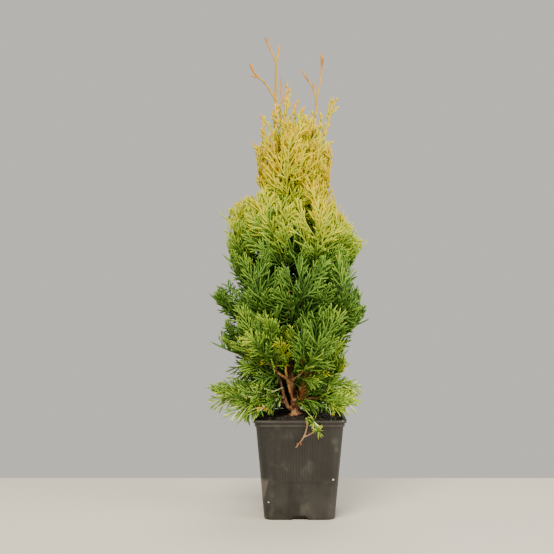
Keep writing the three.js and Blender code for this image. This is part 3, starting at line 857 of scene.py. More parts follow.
@dataclass(frozen=True)
class Limb:
    """A stem, bough or twig: its middle line, its two end radii and how its foot lies."""

    name: str
    curve: Curve
    radii: Pair
    normal: Array | None = None
    flared: bool = False

    FLARE_EXTRA = 2.0
    FLARE_FADE = 2.4
    LOBES = 3
    LOBE_SHARE = 0.14
    COLLAR = 0.35
    COLLAR_FADE = 1.6
    SUNK = 0.9
    FEWEST_RINGS = 4
    RIDGES = ((1.0, 5, 0.11, 1.0), (0.8, 8, -0.23, 2.1), (0.6, 3, 0.47, 1.3))
    RIDGE_SHARE = 0.4
    NODE_PITCH = 4.3
    NODE_WANDER = 2
    NODE_SHARPNESS = 6
    NODE_SHARE = 0.9

    def radius(self, share: Any, angle: Any = 0.0) -> Array:
        """The radius at shares of the way and angles round it.

        Args:
            share: The shares of the way, from 0 to 1.
            angle: The angles round it.

        Returns:
            The radii.
        """
        share = np.asarray(share, float)
        plain = mix(self.radii[0], self.radii[1], share)
        if not self.flared:
            return plain + 0 * np.asarray(angle)
        flare = np.exp((Plant.GROUND - self.curve.point(share)[..., 2]) / self.FLARE_FADE)
        lobes = 1 + self.LOBE_SHARE * flare * np.cos(self.LOBES * np.asarray(angle))
        return (plain + self.FLARE_EXTRA * flare) * lobes

    def skin(self, step: float, sides: int, relief: float, seed: int, sunk: float = SUNK) -> Shape:
        """The limb's skin with the bark's fibres, shed leaf bases and a collar at its foot.

        Args:
            step: The distance between rings.
            sides: The number of points round it.
            relief: The depth of the fibres, as a share of the radius.
            seed: Chooses the fibres' pattern.
            sunk: How far the foot reaches back into what carries it.

        Returns:
            The closed skin.
        """
        length = self.curve.length()
        shares = np.linspace(0, 1, max(self.FEWEST_RINGS, round(length / step)) + 1)
        middles, axes = self.curve.point(shares), self.curve.tangent(shares)
        collar = 0.0
        if self.normal is not None:
            axes[0] = self.normal
            collar = self.COLLAR
        middles[0] = middles[0] - axes[0] * sunk
        angles, shares = around(sides)[None], shares[:, None]
        along = shares * length
        swell = 1 + collar * np.exp(-along / self.COLLAR_FADE) + relief * self.fibres(angles, along, seed)
        return swept(middles, axes, self.radius(shares, angles) * swell)

    def fibres(self, angles: Array, along: Array, seed: int) -> Array:
        """Ridges that run along the limb and drift round it, with a shed leaf base now and then.

        Args:
            angles: The angles round it.
            along: The way from its foot.
            seed: Chooses the pattern.

        Returns:
            How far the bark stands out, about -1 to 1.
        """
        ridges = sum(
            share * np.cos(count * angles + drift * along + turn * seed)
            for share, count, drift, turn in self.RIDGES
        )
        wave = 2 * np.pi * along / self.NODE_PITCH + self.NODE_WANDER * np.cos(angles + seed)
        return self.RIDGE_SHARE * ridges + self.NODE_SHARE * np.cos(wave) ** self.NODE_SHARPNESS


@dataclass(frozen=True)
class Arm:
    """A branch off a stem that ends at its own outermost spray, by bearing, reach and tip height."""

    name: str
    host: str
    foot: float | None
    bearing: float
    reach: float
    tip: float
    bough: bool = False
    sparse: bool = False


class Crown:
    """The crown's outline: how far foliage reaches left, right, and front and back, by height."""

    ROWS = np.array(
        [
            (84, 52, 42, 52), (100, 66, 44, 60), (112, 78, 58, 66), (124, 92, 60, 68), (136, 78, 46, 64),
            (150, 65, 50, 62), (160, 66, 45, 60), (170, 80, 52, 62), (176, 88, 55, 64), (184, 76, 58, 66),
            (198, 76, 70, 66), (210, 84, 66, 66), (220, 89, 60, 64), (232, 70, 57, 62), (250, 72, 58, 58),
            (272, 73, 66, 56), (284, 73, 55, 55), (302, 72, 44, 52), (314, 62, 35, 48), (322, 44, 35, 44),
            (345, 43, 32, 40), (362, 45, 32, 38), (374, 38, 28, 32), (384, 28, 23, 26), (392, 19, 16, 19),
            (399, 11, 6, 11),
        ],
        float,
    )
    FAR = 9.0

    def depth(self, points: Array) -> Array:
        """How far out points lie: 0 in the middle and 1 on the outline, at their own height.

        Args:
            points: The points.

        Returns:
            A depth for each.
        """
        height = points[..., 2]
        left, right, deep = (np.interp(height, self.ROWS[:, 0], self.ROWS[:, k]) for k in (1, 2, 3))
        across = points[..., 0] / np.where(points[..., 0] < 0, left, right)
        out = np.sqrt(across**2 + (points[..., 1] / deep) ** 2)
        return np.where(height > self.ROWS[-1, 0], self.FAR, out)


@dataclass(frozen=True)
class Fan:
    """One flat spray: the rib's curve, the direction across it in its plane, and its half width."""

    rib: Bend
    side: Array
    half_width: float

    ALONG = np.array([0.3, 0.5, 0.7, 0.85, 1.0])
    ASIDE = np.array([0.75, 0.95, 0.7, 0.45, 0.0])

    def probes(self) -> Array:
        """Points that stand for the whole fan: along its rib and along both its edges.

        Returns:
            Fifteen points, those on the rib first.
        """
        middle, axis = self.rib.point(self.ALONG), self.rib.tangent(self.ALONG)
        level = square_to(axis, self.side)
        reach = self.half_width * self.ASIDE[:, None]
        return np.vstack([middle, middle + level * reach, middle - level * reach])


Allowed = Callable[[Array, Array], Array]


@dataclass(frozen=True)
class Habit:
    """How a fan is filled with branchlets, in millimetres, degrees and shares of the rib."""

    pitch: float = 3.2
    first: float = 0.05
    angles: Pair = (40.0, 17.0)
    curl: float = 0.6
    reach: float = 1.95
    sub_pitch: float = 15.0
    sub_angle: float = 26.0
    sub_reach: Pair = (6.0, 13.0)
    sub_from: float = 11.0
    half_width: float = 0.78
    half_thick: float = 0.52
    rise: float = 1.1
    spread: float = 0.42
    skipped: float = 0.04
    sparser: float = 0.6
    stouter: float = 0.25
    droop: tuple[Pair, ...] = ((95, -0.3), (135, -0.12), (190, 0.1), (260, 0.16))

    UPPER = (250, 335)
    FEWEST = 4
    JITTER = 0.2
    SWELL = ((0.0, 0.6), (0.1, 0.85), (0.34, 1.0), (0.75, 0.75), (1.0, 0.42))
    LONG_VARIES = (0.8, 1.15)
    TURN_VARIES = 6
    LIFT_VARIES = (-0.16, 0.2)
    WIDTH_VARIES = 0.12
    SUB_AT = (0.2, 0.7)
    SUB_JITTER = (0.2, 0.8)
    SUB_COUNT = 0.6
    SUB_LONG = (0.8, 1.1)
    SUB_CURL = 0.35
    SUB_WIDTH = 0.9
    SUB_FRESHER = 0.3
    RIB_WIDTH = 1.1
    RIB_DARKER = 0.4

    def fill(self, fan: Fan, tone: float, random: Random, allowed: Allowed) -> Blades:
        """Lays out the branchlets of one fan.

        Args:
            fan: The fan.
            tone: The fan's place in the row of tints, which its outer branchlets pass by a little.
            random: Draws the small differences.
            allowed: Tells from their middles and ends which branchlets may stay.

        Returns:
            The rib, its side branchlets and theirs.
        """
        height = fan.rib.point(0.5)[2]
        upper = float(smooth(*self.UPPER, height))
        stout = 1 + self.stouter * upper
        rise = UP * read(self.droop, height)
        span = fan.rib.length() * (1 - self.first)
        count = max(self.FEWEST, round(span / (self.pitch * (1 + self.sparser * upper))))
        jitter = random.uniform(-self.JITTER, self.JITTER, count)
        shares = self.first + (1 - self.first) * (np.arange(count) + jitter) / count
        hand = np.where(np.arange(count) % 2, 1.0, -1.0)[:, None]
        root, axis = fan.rib.point(shares), fan.rib.tangent(shares)
        level = square_to(axis, fan.side)
        normal = np.cross(axis, level)
        swell = np.interp(shares, *zip(*self.SWELL)) * random.uniform(*self.LONG_VARIES, count)
        long = fan.half_width * self.reach * swell
        turn = random.uniform(-self.TURN_VARIES, self.TURN_VARIES, count)
        angle = np.radians(mix(*self.angles, shares) + turn)[:, None]
        lift = random.uniform(*self.LIFT_VARIES, (count, 1))
        away = unit(np.cos(angle) * axis + np.sin(angle) * hand * level + lift * normal)
        onward = unit(away + self.curl * axis + rise)
        elbow = root + away * (0.5 * long)[:, None]
        end = elbow + onward * (0.5 * long)[:, None]
        across = np.cross(normal, away)
        shade = tone + self.rise * (shares - 0.5)
        sides = self.rows(root, elbow, end, across, stout, shade, random)
        stay = random.uniform(0, 1, count) >= self.skipped
        stay &= allowed(Bend(root, elbow, end).point(0.5), end)

        subs = []
        for k in np.flatnonzero(stay & (long > self.sub_from)):
            twigs = max(1, round(long[k] * self.SUB_COUNT / self.sub_pitch))
            order = np.arange(twigs)
            at = mix(*self.SUB_AT, (order + random.uniform(*self.SUB_JITTER, twigs)) / twigs)
            line = Bend(root[k], elbow[k], end[k])
            way = line.tangent(at)
            out = square_to(way, across[k])
            turn = np.where((order + k) % 2, 1.0, -1.0)[:, None]
            lean = self.sub_angle + random.uniform(-self.TURN_VARIES, self.TURN_VARIES, twigs)
            lean = np.radians(lean)[:, None]
            heading = unit(np.cos(lean) * way + np.sin(lean) * turn * out)
            share, limit = self.SUB_LONG
            half = 0.5 * np.clip(long[k] * share * (limit - at), *self.sub_reach)
            half = (half * random.uniform(*self.LONG_VARIES, twigs))[:, None]
            start = line.point(at)
            bend = start + heading * half
            tip = bend + unit(heading + self.SUB_CURL * way + rise) * half
            fresher = shade[k] + self.SUB_FRESHER * at
            flat = np.cross(normal[k], heading)
            twig = self.rows(start, bend, tip, flat, self.SUB_WIDTH * stout, fresher, random)
            subs.append(twig.kept(allowed(Bend(start, bend, tip).point(0.5), tip)))

        ends = (fan.rib.start[None], fan.rib.elbow[None], fan.rib.end[None])
        rib = self.rows(*ends, fan.side[None], self.RIB_WIDTH, np.array([tone - self.RIB_DARKER]), random)
        return Blades.joined([rib, sides.kept(stay), *subs])

    def rows(
        self, start: Array, elbow: Array, end: Array, side: Array, width: float, tone: Array,
        random: Random,
    ) -> Blades:
        """Branchlets of one order, with their tints dealt by tone.

        Args:
            start: Where they begin.
            elbow: Where they bend.
            end: Where they end.
            side: The direction across each.
            width: Their width, against the habit's own.
            tone: Their places in the row of named tints.
            random: Draws the small differences.

        Returns:
            The branchlets.
        """
        count = len(start)
        vary = random.uniform(1 - self.WIDTH_VARIES, 1 + self.WIDTH_VARIES, count)
        mixed = 2 * (tone + random.uniform(-1, 1, count) * self.spread)
        tint = np.clip(np.round(mixed), 0, Tint.AMBER.place).astype(int)
        wide = self.half_width * width * vary
        return Blades(start, elbow, end, side, wide, self.half_thick * vary, tint)


class Plant:
    """The whole plant above the soil: its stems, boughs, masses and what grows on them."""

    GROUND = 98.3
    GOLD_ABOVE = 330
    LIME_ABOVE = 250
    VIEW_BEARING = 270
    FOOT_TURN = ((1.05, 0.45), (1.5, 1.35))
    STEMS: dict[str, dict[str, Any]] = {
        "trunk": dict(
            points=[(-4, 0, 98.3), (-6.5, 0, 125), (-11, 1, 180), (-15, 1, 240), (-19, 1, 300),
                    (-21, 0, 360), (-23.5, 0, 412)],
            radii=(3.4, 0.95),
        ),
        "right_leader": dict(
            host="trunk", bearing=10, foot=107, radii=(2.6, 0.95),
            points=[(7.5, 3, 124), (9.5, 4, 160), (8.5, 4, 230), (9, 2, 300), (13, 0, 360), (16, 0, 398)],
        ),
        "left_stem": dict(
            host="trunk", bearing=188, foot=105, radii=(2.2, 0.9),
            points=[(-17, -4, 124), (-26, -7, 158), (-36, -7, 205), (-43, -4, 245)],
        ),
        "front_stem": dict(
            host="trunk", bearing=262, foot=107, radii=(1.8, 0.85),
            points=[(-10, -10, 126), (-14, -13, 148), (-12, -17, 190), (-10, -19, 235)],
        ),
        "back_stem": dict(
            host="trunk", bearing=84, foot=106, radii=(2.1, 0.85),
            points=[(-3, 12, 126), (-1, 19, 165), (-1, 22, 225), (-4, 20, 278)],
        ),
    }
    ARMS = [
        Arm("left_low", "left_stem", 111, 183, 95, 126, True),
        Arm("left_front_low", "left_stem", 116, 213, 73, 92, True),
        Arm("right_front_low", "front_stem", 113, 318, 60, 104, True),
        Arm("right_low", "right_leader", 113, 356, 63, 112, True),
        Arm("back_right_low", "back_stem", 112, 50, 65, 114, True),
        Arm("back_left_low", "back_stem", 114, 130, 71, 112, True),
        Arm("left_second", "left_stem", 150, 186, 90, 172, True),
        Arm("front_left_second", "front_stem", 136, 230, 66, 174, True),
        Arm("front_right_second", "front_stem", 131, 289, 58, 172, True),
        Arm("right_second", "right_leader", 128, 349, 54, 152, True),
        Arm("back_right_second", "back_stem", 136, 56, 64, 174),
        Arm("back_left_second", "back_stem", 141, 134, 70, 168),
        Arm("left_middle", "left_stem", 184, 181, 91, 220, True),
        Arm("front_left_middle", "front_stem", 164, 229, 69, 238),
        Arm("front_middle", "front_stem", 172, 274, 58, 232),
        Arm("right_front_middle", "right_leader", 168, 319, 62, 228),
        Arm("right_middle", "right_leader", 158, 357, 67, 199, True),
        Arm("back_right_middle", "back_stem", 176, 60, 62, 234),
        Arm("back_left_middle", "back_stem", 184, 127, 67, 232),
        Arm("left_flank", "left_stem", 220, 180, 70, 262),
        Arm("left_shoulder", "left_stem", None, 178, 75, 301),
        Arm("front_left_shoulder", "front_stem", None, 232, 57, 304),
        Arm("front_right_shoulder", "right_leader", 216, 293, 50, 300),
        Arm("right_shoulder", "right_leader", 218, 1, 69, 273, True),
        Arm("back_right_shoulder", "back_stem", 236, 62, 53, 296),
        Arm("back_left_shoulder", "trunk", 226, 132, 58, 302),
        Arm("left_upper", "trunk", 278, 181, 45, 366),
        Arm("front_upper", "trunk", 276, 254, 36, 372),
        Arm("right_upper", "right_leader", 270, 354, 34, 360),
        Arm("right_flank", "right_leader", 250, 357, 50, 298),
        Arm("back_upper", "back_stem", None, 100, 34, 366),
        Arm("heart", "trunk", 322, 280, 9, 402),
        Arm("right_heart", "right_leader", 296, 300, 15, 394),
        Arm("right_crest", "right_leader", 338, 357, 35, 417, sparse=True),
        Arm("left_crest", "trunk", 332, 184, 38, 400, sparse=True),
        Arm("middle_crest", "trunk", 362, 175, 11, 434, sparse=True),
    ]

    # How boughs and the masses' stems run
    BOUGH_SHARE = 0.34
    BOUGH_RADII = (1.5, 0.95)
    TWIG_RADII = (1.0, 0.5)
    SIDE_ELBOW = (0.6, 0.3)
    ONWARD_ELBOW = (0.4, 0.35)
    ARCH = 9
    ARCH_BELOW = 25
    HALVINGS = 30

    # How fans spring from them, by the source's rule
    FAN_LENGTH = 50.0
    FAN_HALF_WIDTH = 13.5
    FEWEST = 22
    PER_MM = 1 / 3.2
    REACH = (0.08, 0.97)
    TRIES = 26
    SIZE = (1.0, 0.3)
    SIZE_VARIES = (0.92, 1.06)
    SIZE_AT_TIP = 0.8
    TIP_FROM = 0.3
    TIP_WIDTH = 0.9
    TURN = 137.5
    ROLL = (25, 110)
    ANGLE = 42
    ANGLE_SPREAD = (8, 26)
    ONWARD = 0.3
    LIFT_AT = ((95, -0.12), (150, 0.2), (300, 0.24), (360, 0.6))
    SIZE_AT = ((340, 1.0), (425, 0.72))
    WIDTH_AT = ((320, 1.0), (400, 0.72))
    SPARSE_SIZE = 0.8
    SWING = (48, 85)
    TIP_SWING = 30

    # The inner fans that spring from stems and boughs, and the painted shade of those above LIT_BELOW
    INNER_STEP = 2.6
    INNER_SIZE = 0.72
    INNER_SHADE = 1.0
    INNER_FROM = 106
    INNER_BEARING = 90
    LIT_BELOW = 140
    BOUGH_CLEAR = 0.15
    STEM_CLEAR = 0.4

    # Where fans and branchlets may be
    ROOT_ZONE = 6.0
    SEEDS = 6
    FIRST_SEED = 0.06
    OWN_MARGIN = -16.0
    LIMB_MARGIN = 0.7
    LIMB_STEPS = 40
    KEEP_OUT_HALF = 46.7
    KEEP_OUT_TOP = 99.2
    EDGE = (1.0, 0.16)
    TOP_SLACK = 12.0
    TOP_FROM = (355, 385)
    OFF_LIMBS = (0.5, 0.3)
    DEEPEST = 62.5
    SPARSE_HABIT = Habit(
        pitch=5.2, first=0.3, angles=(30.0, 20.0), reach=1.2, sub_from=99.0, half_width=0.85
    )
    MASS_SEED = 100

    # The bark's finishes and its skins
    BARK = BarkFinish("brown_bark", ("54301f", "c8936a"), ("6a3f26", "bb8858"))
    YOUNG_BARK = BarkFinish("orange_bark", ("6e4428", "c08658"), ("c09438", "f0c860"), 0.118, 0.145)
    TWIG_BARK = BarkFinish("twig_bark", ("6a4526", "8d6a2e"), ("86682a", "a98c34"), 0.12, 0.3)
    GREEN_TWIG = BarkFinish("green_twig", ("556420", "7d8a34"), ("a5922c", "c2ac40"), 0.22, 0.36)
    GOLDEN_BARK = BarkFinish("golden_bark", ("a8702c", "e0a848"), ("c88c34", "f4c458"), 0.1, 0.25)
    LIMB_STEP = 0.9
    LIMB_RELIEF = 0.11
    THICK_FROM = 1.6
    THICK_SIDES = 24
    THIN_SIDES = 14
    TWIG_STEP = 1.8
    TWIG_RELIEF = 0.08
    TWIG_PAST = 0.08
    TWIG_MOST = 0.9
    TWIG_SIDES = 8
    BROWN_SHARE = 0.45

    # Before the bare feet: a height, the window's middle across and its half width
    WINDOW = ((98, -5, 13), (150, -18, 9))
    WINDOW_DEEP = 3
    WINDOW_TOP = 149
    # Clefts: across at foot and top, from and to height, half width, and how far out they begin
    GAPS = (
        (-9, -1, 224, 282, 4.5, 0.5),
        (17, 13, 156, 212, 3.5, 0.5),
        (26, 24, 102, 130, 9.5, 0.0),
        (2, 5, 128, 162, 5.5, 0.33),
        (-19, -20.5, 334, 382, 2.3, 0.25),
        (13, 15.5, 360, 398, 2.2, 0.3),
        (9, 9, 278, 308, 2.8, 0.3),
    )
    GAP_WAVE = 3.1
    GAP_VARIES = 0.3

    # Tones by height, the painted shade deeper in the crown that open sky lessens, and what the left and the
    # right side add to them
    TONE_AT = (
        (90, 3.1), (115, 3.3), (145, 3.4), (172, 2.7), (200, 2.4), (230, 2.5), (255, 3.4), (285, 4.6),
        (320, 5.6), (360, 5.9), (440, 6.2),
    )
    TONE_PLACE = 0.6
    TONE_SHADE = 3.6
    TONE_SPREAD = 0.4
    SKY_FROM = (230, 400)
    SKY_SHARE = 0.6
    SIDE_AT = (
        (90, -0.2, 0.4), (140, 0.1, 0.5), (175, 0.1, 0.1), (225, -0.1, -0.1), (255, -0.5, -0.1),
        (275, -0.5, 0.7), (295, -0.1, 0.9), (310, 0.1, 0.6), (340, 0.0, 0.0),
    )
    SIDE_FROM = -10.0
    SIDE_FULL = 35.0

    def __init__(self) -> None:
        """Grows the limbs."""
        self.crown = Crown()
        self.limbs: dict[str, Limb] = {}
        self.masses: list[tuple[Arm, Bend, Array | None]] = []
        for name, sizes in self.STEMS.items():
            self.grow_stem(name, **sizes)
        for arm in self.ARMS:
            self.lay_out(arm)
        self.read_space()

    def at_height(self, curve: Curve, height: float) -> float:
        """Where a curve crosses a height, by halving.

        Args:
            curve: The curve, which climbs.
            height: The height.

        Returns:
            The share of its way.
        """
        low, high = 0.0, 1.0
        for _ in range(self.HALVINGS):
            middle = (low + high) / 2
            if curve.point(middle)[2] < height:
                low = middle
            else:
                high = middle
        return low

    def foot_on(self, host: Limb, height: float, bearing: float, radius: float) -> tuple[Array, Array]:
        """A point on a stem's skin, with the direction square to the stem there.

        Args:
            host: The stem.
            height: The foot's height.
            bearing: The side that it faces.
            radius: The radius of the limb that starts there.

        Returns:
            The point and the direction.
        """
        share = self.at_height(host.curve, height)
        normal = square_to(host.curve.tangent(share), towards(bearing))
        widest = host.radius(self.at_height(host.curve, height - radius))
        return host.curve.point(share) + normal * (widest + CLEARANCE), normal

    def grow_stem(
        self, name: str, points: list, radii: Pair, host: str = "", bearing: float = 0,
        foot: float = 0,
    ) -> None:
        """Grows one stem through its points, from the soil or from another stem.

        Args:
            name: Its name.
            points: The points that it passes.
            radii: Its radii at both ends.
            host: The stem that carries it, or none.
            bearing: The side of the host that it leaves from.
            foot: The height of its foot.
        """
        way = [np.array(point, float) for point in points]
        normal = UP
        if host:
            start, normal = self.foot_on(self.limbs[host], foot, bearing, radii[0])
            turn = [start + normal * out * radii[0] + UP * up * radii[0] for out, up in self.FOOT_TURN]
            way = [start, *turn, *way]
        self.limbs[name] = Limb(name, Way(np.array(way)), radii, normal, not host)

    def lay_out(self, arm: Arm) -> None:
        """Adds an arm: its bough, where it has one, and the stem of its mass.

        Args:
            arm: The arm.
        """
        host = self.limbs[arm.host]
        tip = towards(arm.bearing) * arm.reach + UP * arm.tip
        if arm.foot is None:
            normal = host.curve.tangent(1.0)
            point = host.curve.point(1.0) + normal * CLEARANCE
            out, rise = self.ONWARD_ELBOW
        else:
            off = tip - host.curve.point(self.at_height(host.curve, arm.foot))
            bearing = math.degrees(math.atan2(off[1], off[0]))
            radius = self.BOUGH_RADII[0] if arm.bough else self.TWIG_RADII[0]
            point, normal = self.foot_on(host, arm.foot, bearing, radius)
            out, rise = self.SIDE_ELBOW
        climb = max(tip[2] - point[2], 0.0)
        elbow = mix(point, tip, out)
        elbow[2] = point[2] + climb * rise + self.ARCH * max(0.0, 1 - climb / self.ARCH_BELOW)
        curve = Bend(point, elbow, tip)
        if not arm.bough:
            self.masses.append((arm, curve, normal))
            return
        name = "bough_" + arm.name
        self.limbs[name] = Limb(name, curve.part(0, self.BOUGH_SHARE), self.BOUGH_RADII, normal)
        self.masses.append((arm, curve.part(self.BOUGH_SHARE, 1), None))

    def read_space(self) -> None:
        """Reads what a fan has to keep clear of: the limbs and the other masses' stems."""
        shares = np.linspace(0, 1, self.LIMB_STEPS + 1)
        lines = [limb.curve.point(shares) for limb in self.limbs.values()]
        self.limb_from = np.vstack([line[:-1] for line in lines])
        self.limb_way = np.vstack([np.diff(line, axis=0) for line in lines])
        self.limb_radius = np.concatenate([limb.radius(shares[:-1]) for limb in self.limbs.values()])
        places = mix(self.FIRST_SEED, 1, np.linspace(0, 1, self.SEEDS))
        self.seeds = np.array([stem.point(places) for _, stem, _ in self.masses])

    def off_limbs(self, points: Array) -> Array:
        """The distance of points from the nearest limb's skin.

        Args:
            points: The points.

        Returns:
            A distance for each.
        """
        off = points[:, None] - self.limb_from[None]
        share = np.sum(off * self.limb_way, -1) / np.sum(self.limb_way**2, -1)
        nearest = off - self.limb_way * np.clip(share, 0, 1)[..., None]
        return (np.linalg.norm(nearest, axis=-1) - self.limb_radius).min(1)

    def in_pot(self, points: Array) -> Array:
        """Which points lie in the pot or just above it."""
        across = np.abs(points[..., :2]).max(-1)
        return (across < self.KEEP_OUT_HALF) & (points[..., 2] < self.KEEP_OUT_TOP)

    def clear(self, fan: Fan, root_zone: float) -> Array | None:
        """The points that stand for a fan, if they are in the crown and clear of pot and limbs.

        Args:
            fan: The fan.
            root_zone: How near to its root it may touch what carries it.

        Returns:
            Its points outside that zone, or None.
        """
        probes = fan.probes()
        apart = np.linalg.norm(probes - fan.rib.start, axis=1)
        outside = apart > root_zone
        far = probes[outside]
        along = len(fan.ALONG)
        rib = probes[:along][outside[:along]]
        if self.in_pot(far).any() or (self.crown.depth(far) > 1).any():
            return None
        return far if (self.off_limbs(rib) > self.LIMB_MARGIN).all() else None

    def own(self, row: int, points: Array) -> bool:
        """Whether points are in a mass's own space, nearer to its stem than to any other.

        Args:
            row: The mass's row.
            points: The points.

        Returns:
            Whether they are.
        """
        apart = np.linalg.norm(points[None, :, None] - self.seeds[:, None], axis=-1).min(2)
        own = apart[row] + self.OWN_MARGIN
        apart[row] = np.inf
        return not (apart.min(0) < own).any()

    def side_fan(
        self, stem: Curve, share: float, bearing: float, roll: float, effort: float, scale: float, draw: Draw
    ) -> Fan:
        """One try at a fan off a mass's stem.

        Args:
            stem: The mass's stem.
            share: Where on it the fan springs.
            bearing: The arm's bearing.
            roll: The angle round the stem.
            effort: From 0, at full size and at the set angle, to 1.
            scale: The fan's size against a full one.
            draw: Draws the small differences.

        Returns:
            The fan.
        """
        turned = math.radians(roll + draw.between(-1, 1) * mix(*self.ROLL, effort))
        angle = math.radians(self.ANGLE + draw.between(-1, 1) * mix(*self.ANGLE_SPREAD, effort))
        root, tangent = stem.point(share), stem.tangent(share)
        height = root[2]
        size = scale * mix(*self.SIZE, effort) * draw.between(*self.SIZE_VARIES)
        size *= mix(1, self.SIZE_AT_TIP, share) * read(self.SIZE_AT, height)
        level = square_to(tangent, towards(bearing + 90))
        sideways = level * math.cos(turned) + np.cross(tangent, level) * math.sin(turned)
        away = tangent * math.cos(angle) + sideways * math.sin(angle)
        onward = unit(away + tangent * self.ONWARD + UP * read(self.LIFT_AT, height))
        half = self.FAN_LENGTH * size / 2
        elbow = root + away * half
        aside = abs((bearing - self.VIEW_BEARING + 180) % 360 - 180) / 180
        face = towards(self.VIEW_BEARING + draw.between(-1, 1) * mix(*self.SWING, aside))
        width = self.FAN_HALF_WIDTH * size * read(self.WIDTH_AT, height)
        return Fan(Bend(root, elbow, elbow + onward * half), unit(np.cross(onward, face)), width)

    def tip_start(self, stem: Bend) -> float:
        """Where on a mass's stem the fan at its tip begins."""
        return max(self.TIP_FROM, 1 - self.FAN_LENGTH / stem.length())

    def fans(self, row: int) -> list[Fan]:
        """All fans of a mass, the one at its tip first. A sparse mass has no other.

        Args:
            row: The mass's row.

        Returns:
            The fans.
        """
        arm, stem, _ = self.masses[row]
        draw = Draw(row + 1)
        scale = self.SPARSE_SIZE if arm.sparse else 1.0
        face = towards(self.VIEW_BEARING + draw.between(-1, 1) * self.TIP_SWING)
        first = self.tip_start(stem)
        start, bend, tip = stem.point(np.array([first, (1 + first) / 2, 1.0]))
        half_width = self.FAN_HALF_WIDTH * self.TIP_WIDTH * scale * read(self.SIZE_AT, tip[2])
        fans = [Fan(Bend(start, bend, tip), unit(np.cross(tip - start, face)), half_width)]
        if arm.sparse:
            return fans
        count = max(self.FEWEST, round(stem.length() * self.PER_MM))
        for k in range(count):
            share = mix(*self.REACH, k / (count - 1))
            for attempt in range(self.TRIES):
                effort = attempt / (self.TRIES - 1)
                fan = self.side_fan(stem, share, arm.bearing, self.TURN * k, effort, scale, draw)
                far = self.clear(fan, self.ROOT_ZONE)
                if far is not None and self.own(row, far):
                    fans.append(fan)
                    break
        return fans

    def inner_fans(self) -> list[Fan]:
        """Short fans that spring from the stems and boughs themselves and fill the crown's inside.

        Returns:
            The fans.
        """
        draw = Draw(len(self.masses) + 1)
        fans = []
        for limb in self.limbs.values():
            count = round(limb.curve.length() / self.INNER_STEP)
            low = self.BOUGH_CLEAR if limb.name.startswith("bough") else self.STEM_CLEAR
            for k in range(count):
                share = (k + 0.5) / count
                foot = limb.curve.point(share)[2] < self.INNER_FROM and share < low
                if foot and limb.name != "back_stem":
                    continue
                for attempt in range(self.TRIES):
                    tried = (self.TURN * k, attempt / (self.TRIES - 1), self.INNER_SIZE, draw)
                    fan = self.side_fan(limb.curve, share, self.INNER_BEARING, *tried)
                    far = self.clear(fan, self.ROOT_ZONE + limb.radii[0])
                    if far is not None and not self.in_window(far).any():
                        fans.append(fan)
                        break
        return fans

    def in_window(self, points: Array) -> Array:
        """Which points lie before the bare feet of the stems, where the photograph shows bark.

        Args:
            points: The points.

        Returns:
            True for each that does.
        """
        across, deep, height = np.moveaxis(points, -1, 0)
        places, middles, halves = zip(*self.WINDOW)
        aside = np.abs(across - np.interp(height, places, middles)) < np.interp(height, places, halves)
        return aside & (deep < self.WINDOW_DEEP) & (height < self.WINDOW_TOP)

    def in_gap(self, points: Array) -> Array:
        """Which points lie in the dark clefts and the bit of sky that the photograph shows.

        Args:
            points: The points.

        Returns:
            True for each that does.
        """
        found = np.zeros(points.shape[:-1], bool)
        depth = self.crown.depth(points)
        x, y, height = np.moveaxis(points, -1, 0)
        for foot, top, low, high, half_width, depth_from in self.GAPS:
            share = (height - low) / (high - low)
            wave = 1 - self.GAP_VARIES * (1 - np.sin(height / self.GAP_WAVE + foot))
            wide = 2 * half_width * wave * np.sqrt(np.clip(share * (1 - share), 0, 1))
            near = np.abs(x - mix(foot, top, share)) < wide
            found |= near & (depth > depth_from) & ((y < 0) | (depth_from == 0))
        return found

    def tone(self, fan: Fan, random: Random) -> float:
        """A fan's place in the row of tints: lighter higher up, darker further in by painted shade, and set
        by side.

        Args:
            fan: The fan.
            random: Draws the small differences.

        Returns:
            The tone, in named tints from the darkest.
        """
        middle = fan.rib.point(self.TONE_PLACE)
        height = middle[2]
        across = (middle[0] - self.SIDE_FROM) / self.SIDE_FULL
        places, lefts, rights = zip(*self.SIDE_AT)
        side = np.interp(height, places, lefts if across < 0 else rights) * min(1.0, abs(across))
        # Painted shade: fans deeper in the crown take darker tints, less so under the open sky near the top.
        inward = 1 - min(1.0, float(self.crown.depth(middle)))
        open_sky = float(smooth(*self.SKY_FROM, height))
        shade = self.TONE_SHADE * inward * (1 - self.SKY_SHARE * open_sky)
        tone = read(self.TONE_AT, height) + float(side) - shade
        return tone + random.uniform(-1, 1) * self.TONE_SPREAD

    def filled(
        self, fans: list[Fan], habit: Habit, seed: int, shade: float = 0.0, open_crown: bool = False
    ) -> Blades:
        """The branchlets of these fans that keep to the crown and clear of limbs and pot.

        Args:
            fans: The fans.
            habit: How each is filled.
            seed: Chooses the small differences.
            shade: How much painted shade darkens them, in tints.
            open_crown: Whether they may pass the crown's outline.

        Returns:
            The branchlets.
        """
        random = Random(seed)
        allowed = self.keeper(seed + 1, open_crown)
        parts = [habit.fill(fan, self.tone(fan, random) - shade, random, allowed) for fan in fans]
        return Blades.joined(parts)

    def keeper(self, seed: int, open_crown: bool = False) -> Allowed:
        """The rule for branchlets: they keep to the crown and its depth, clear of limbs, pot and gaps.

        Args:
            seed: Chooses those that may pass the outline a little.
            open_crown: Whether all may pass it.

        Returns:
            The rule.
        """
        rough = Random(seed)

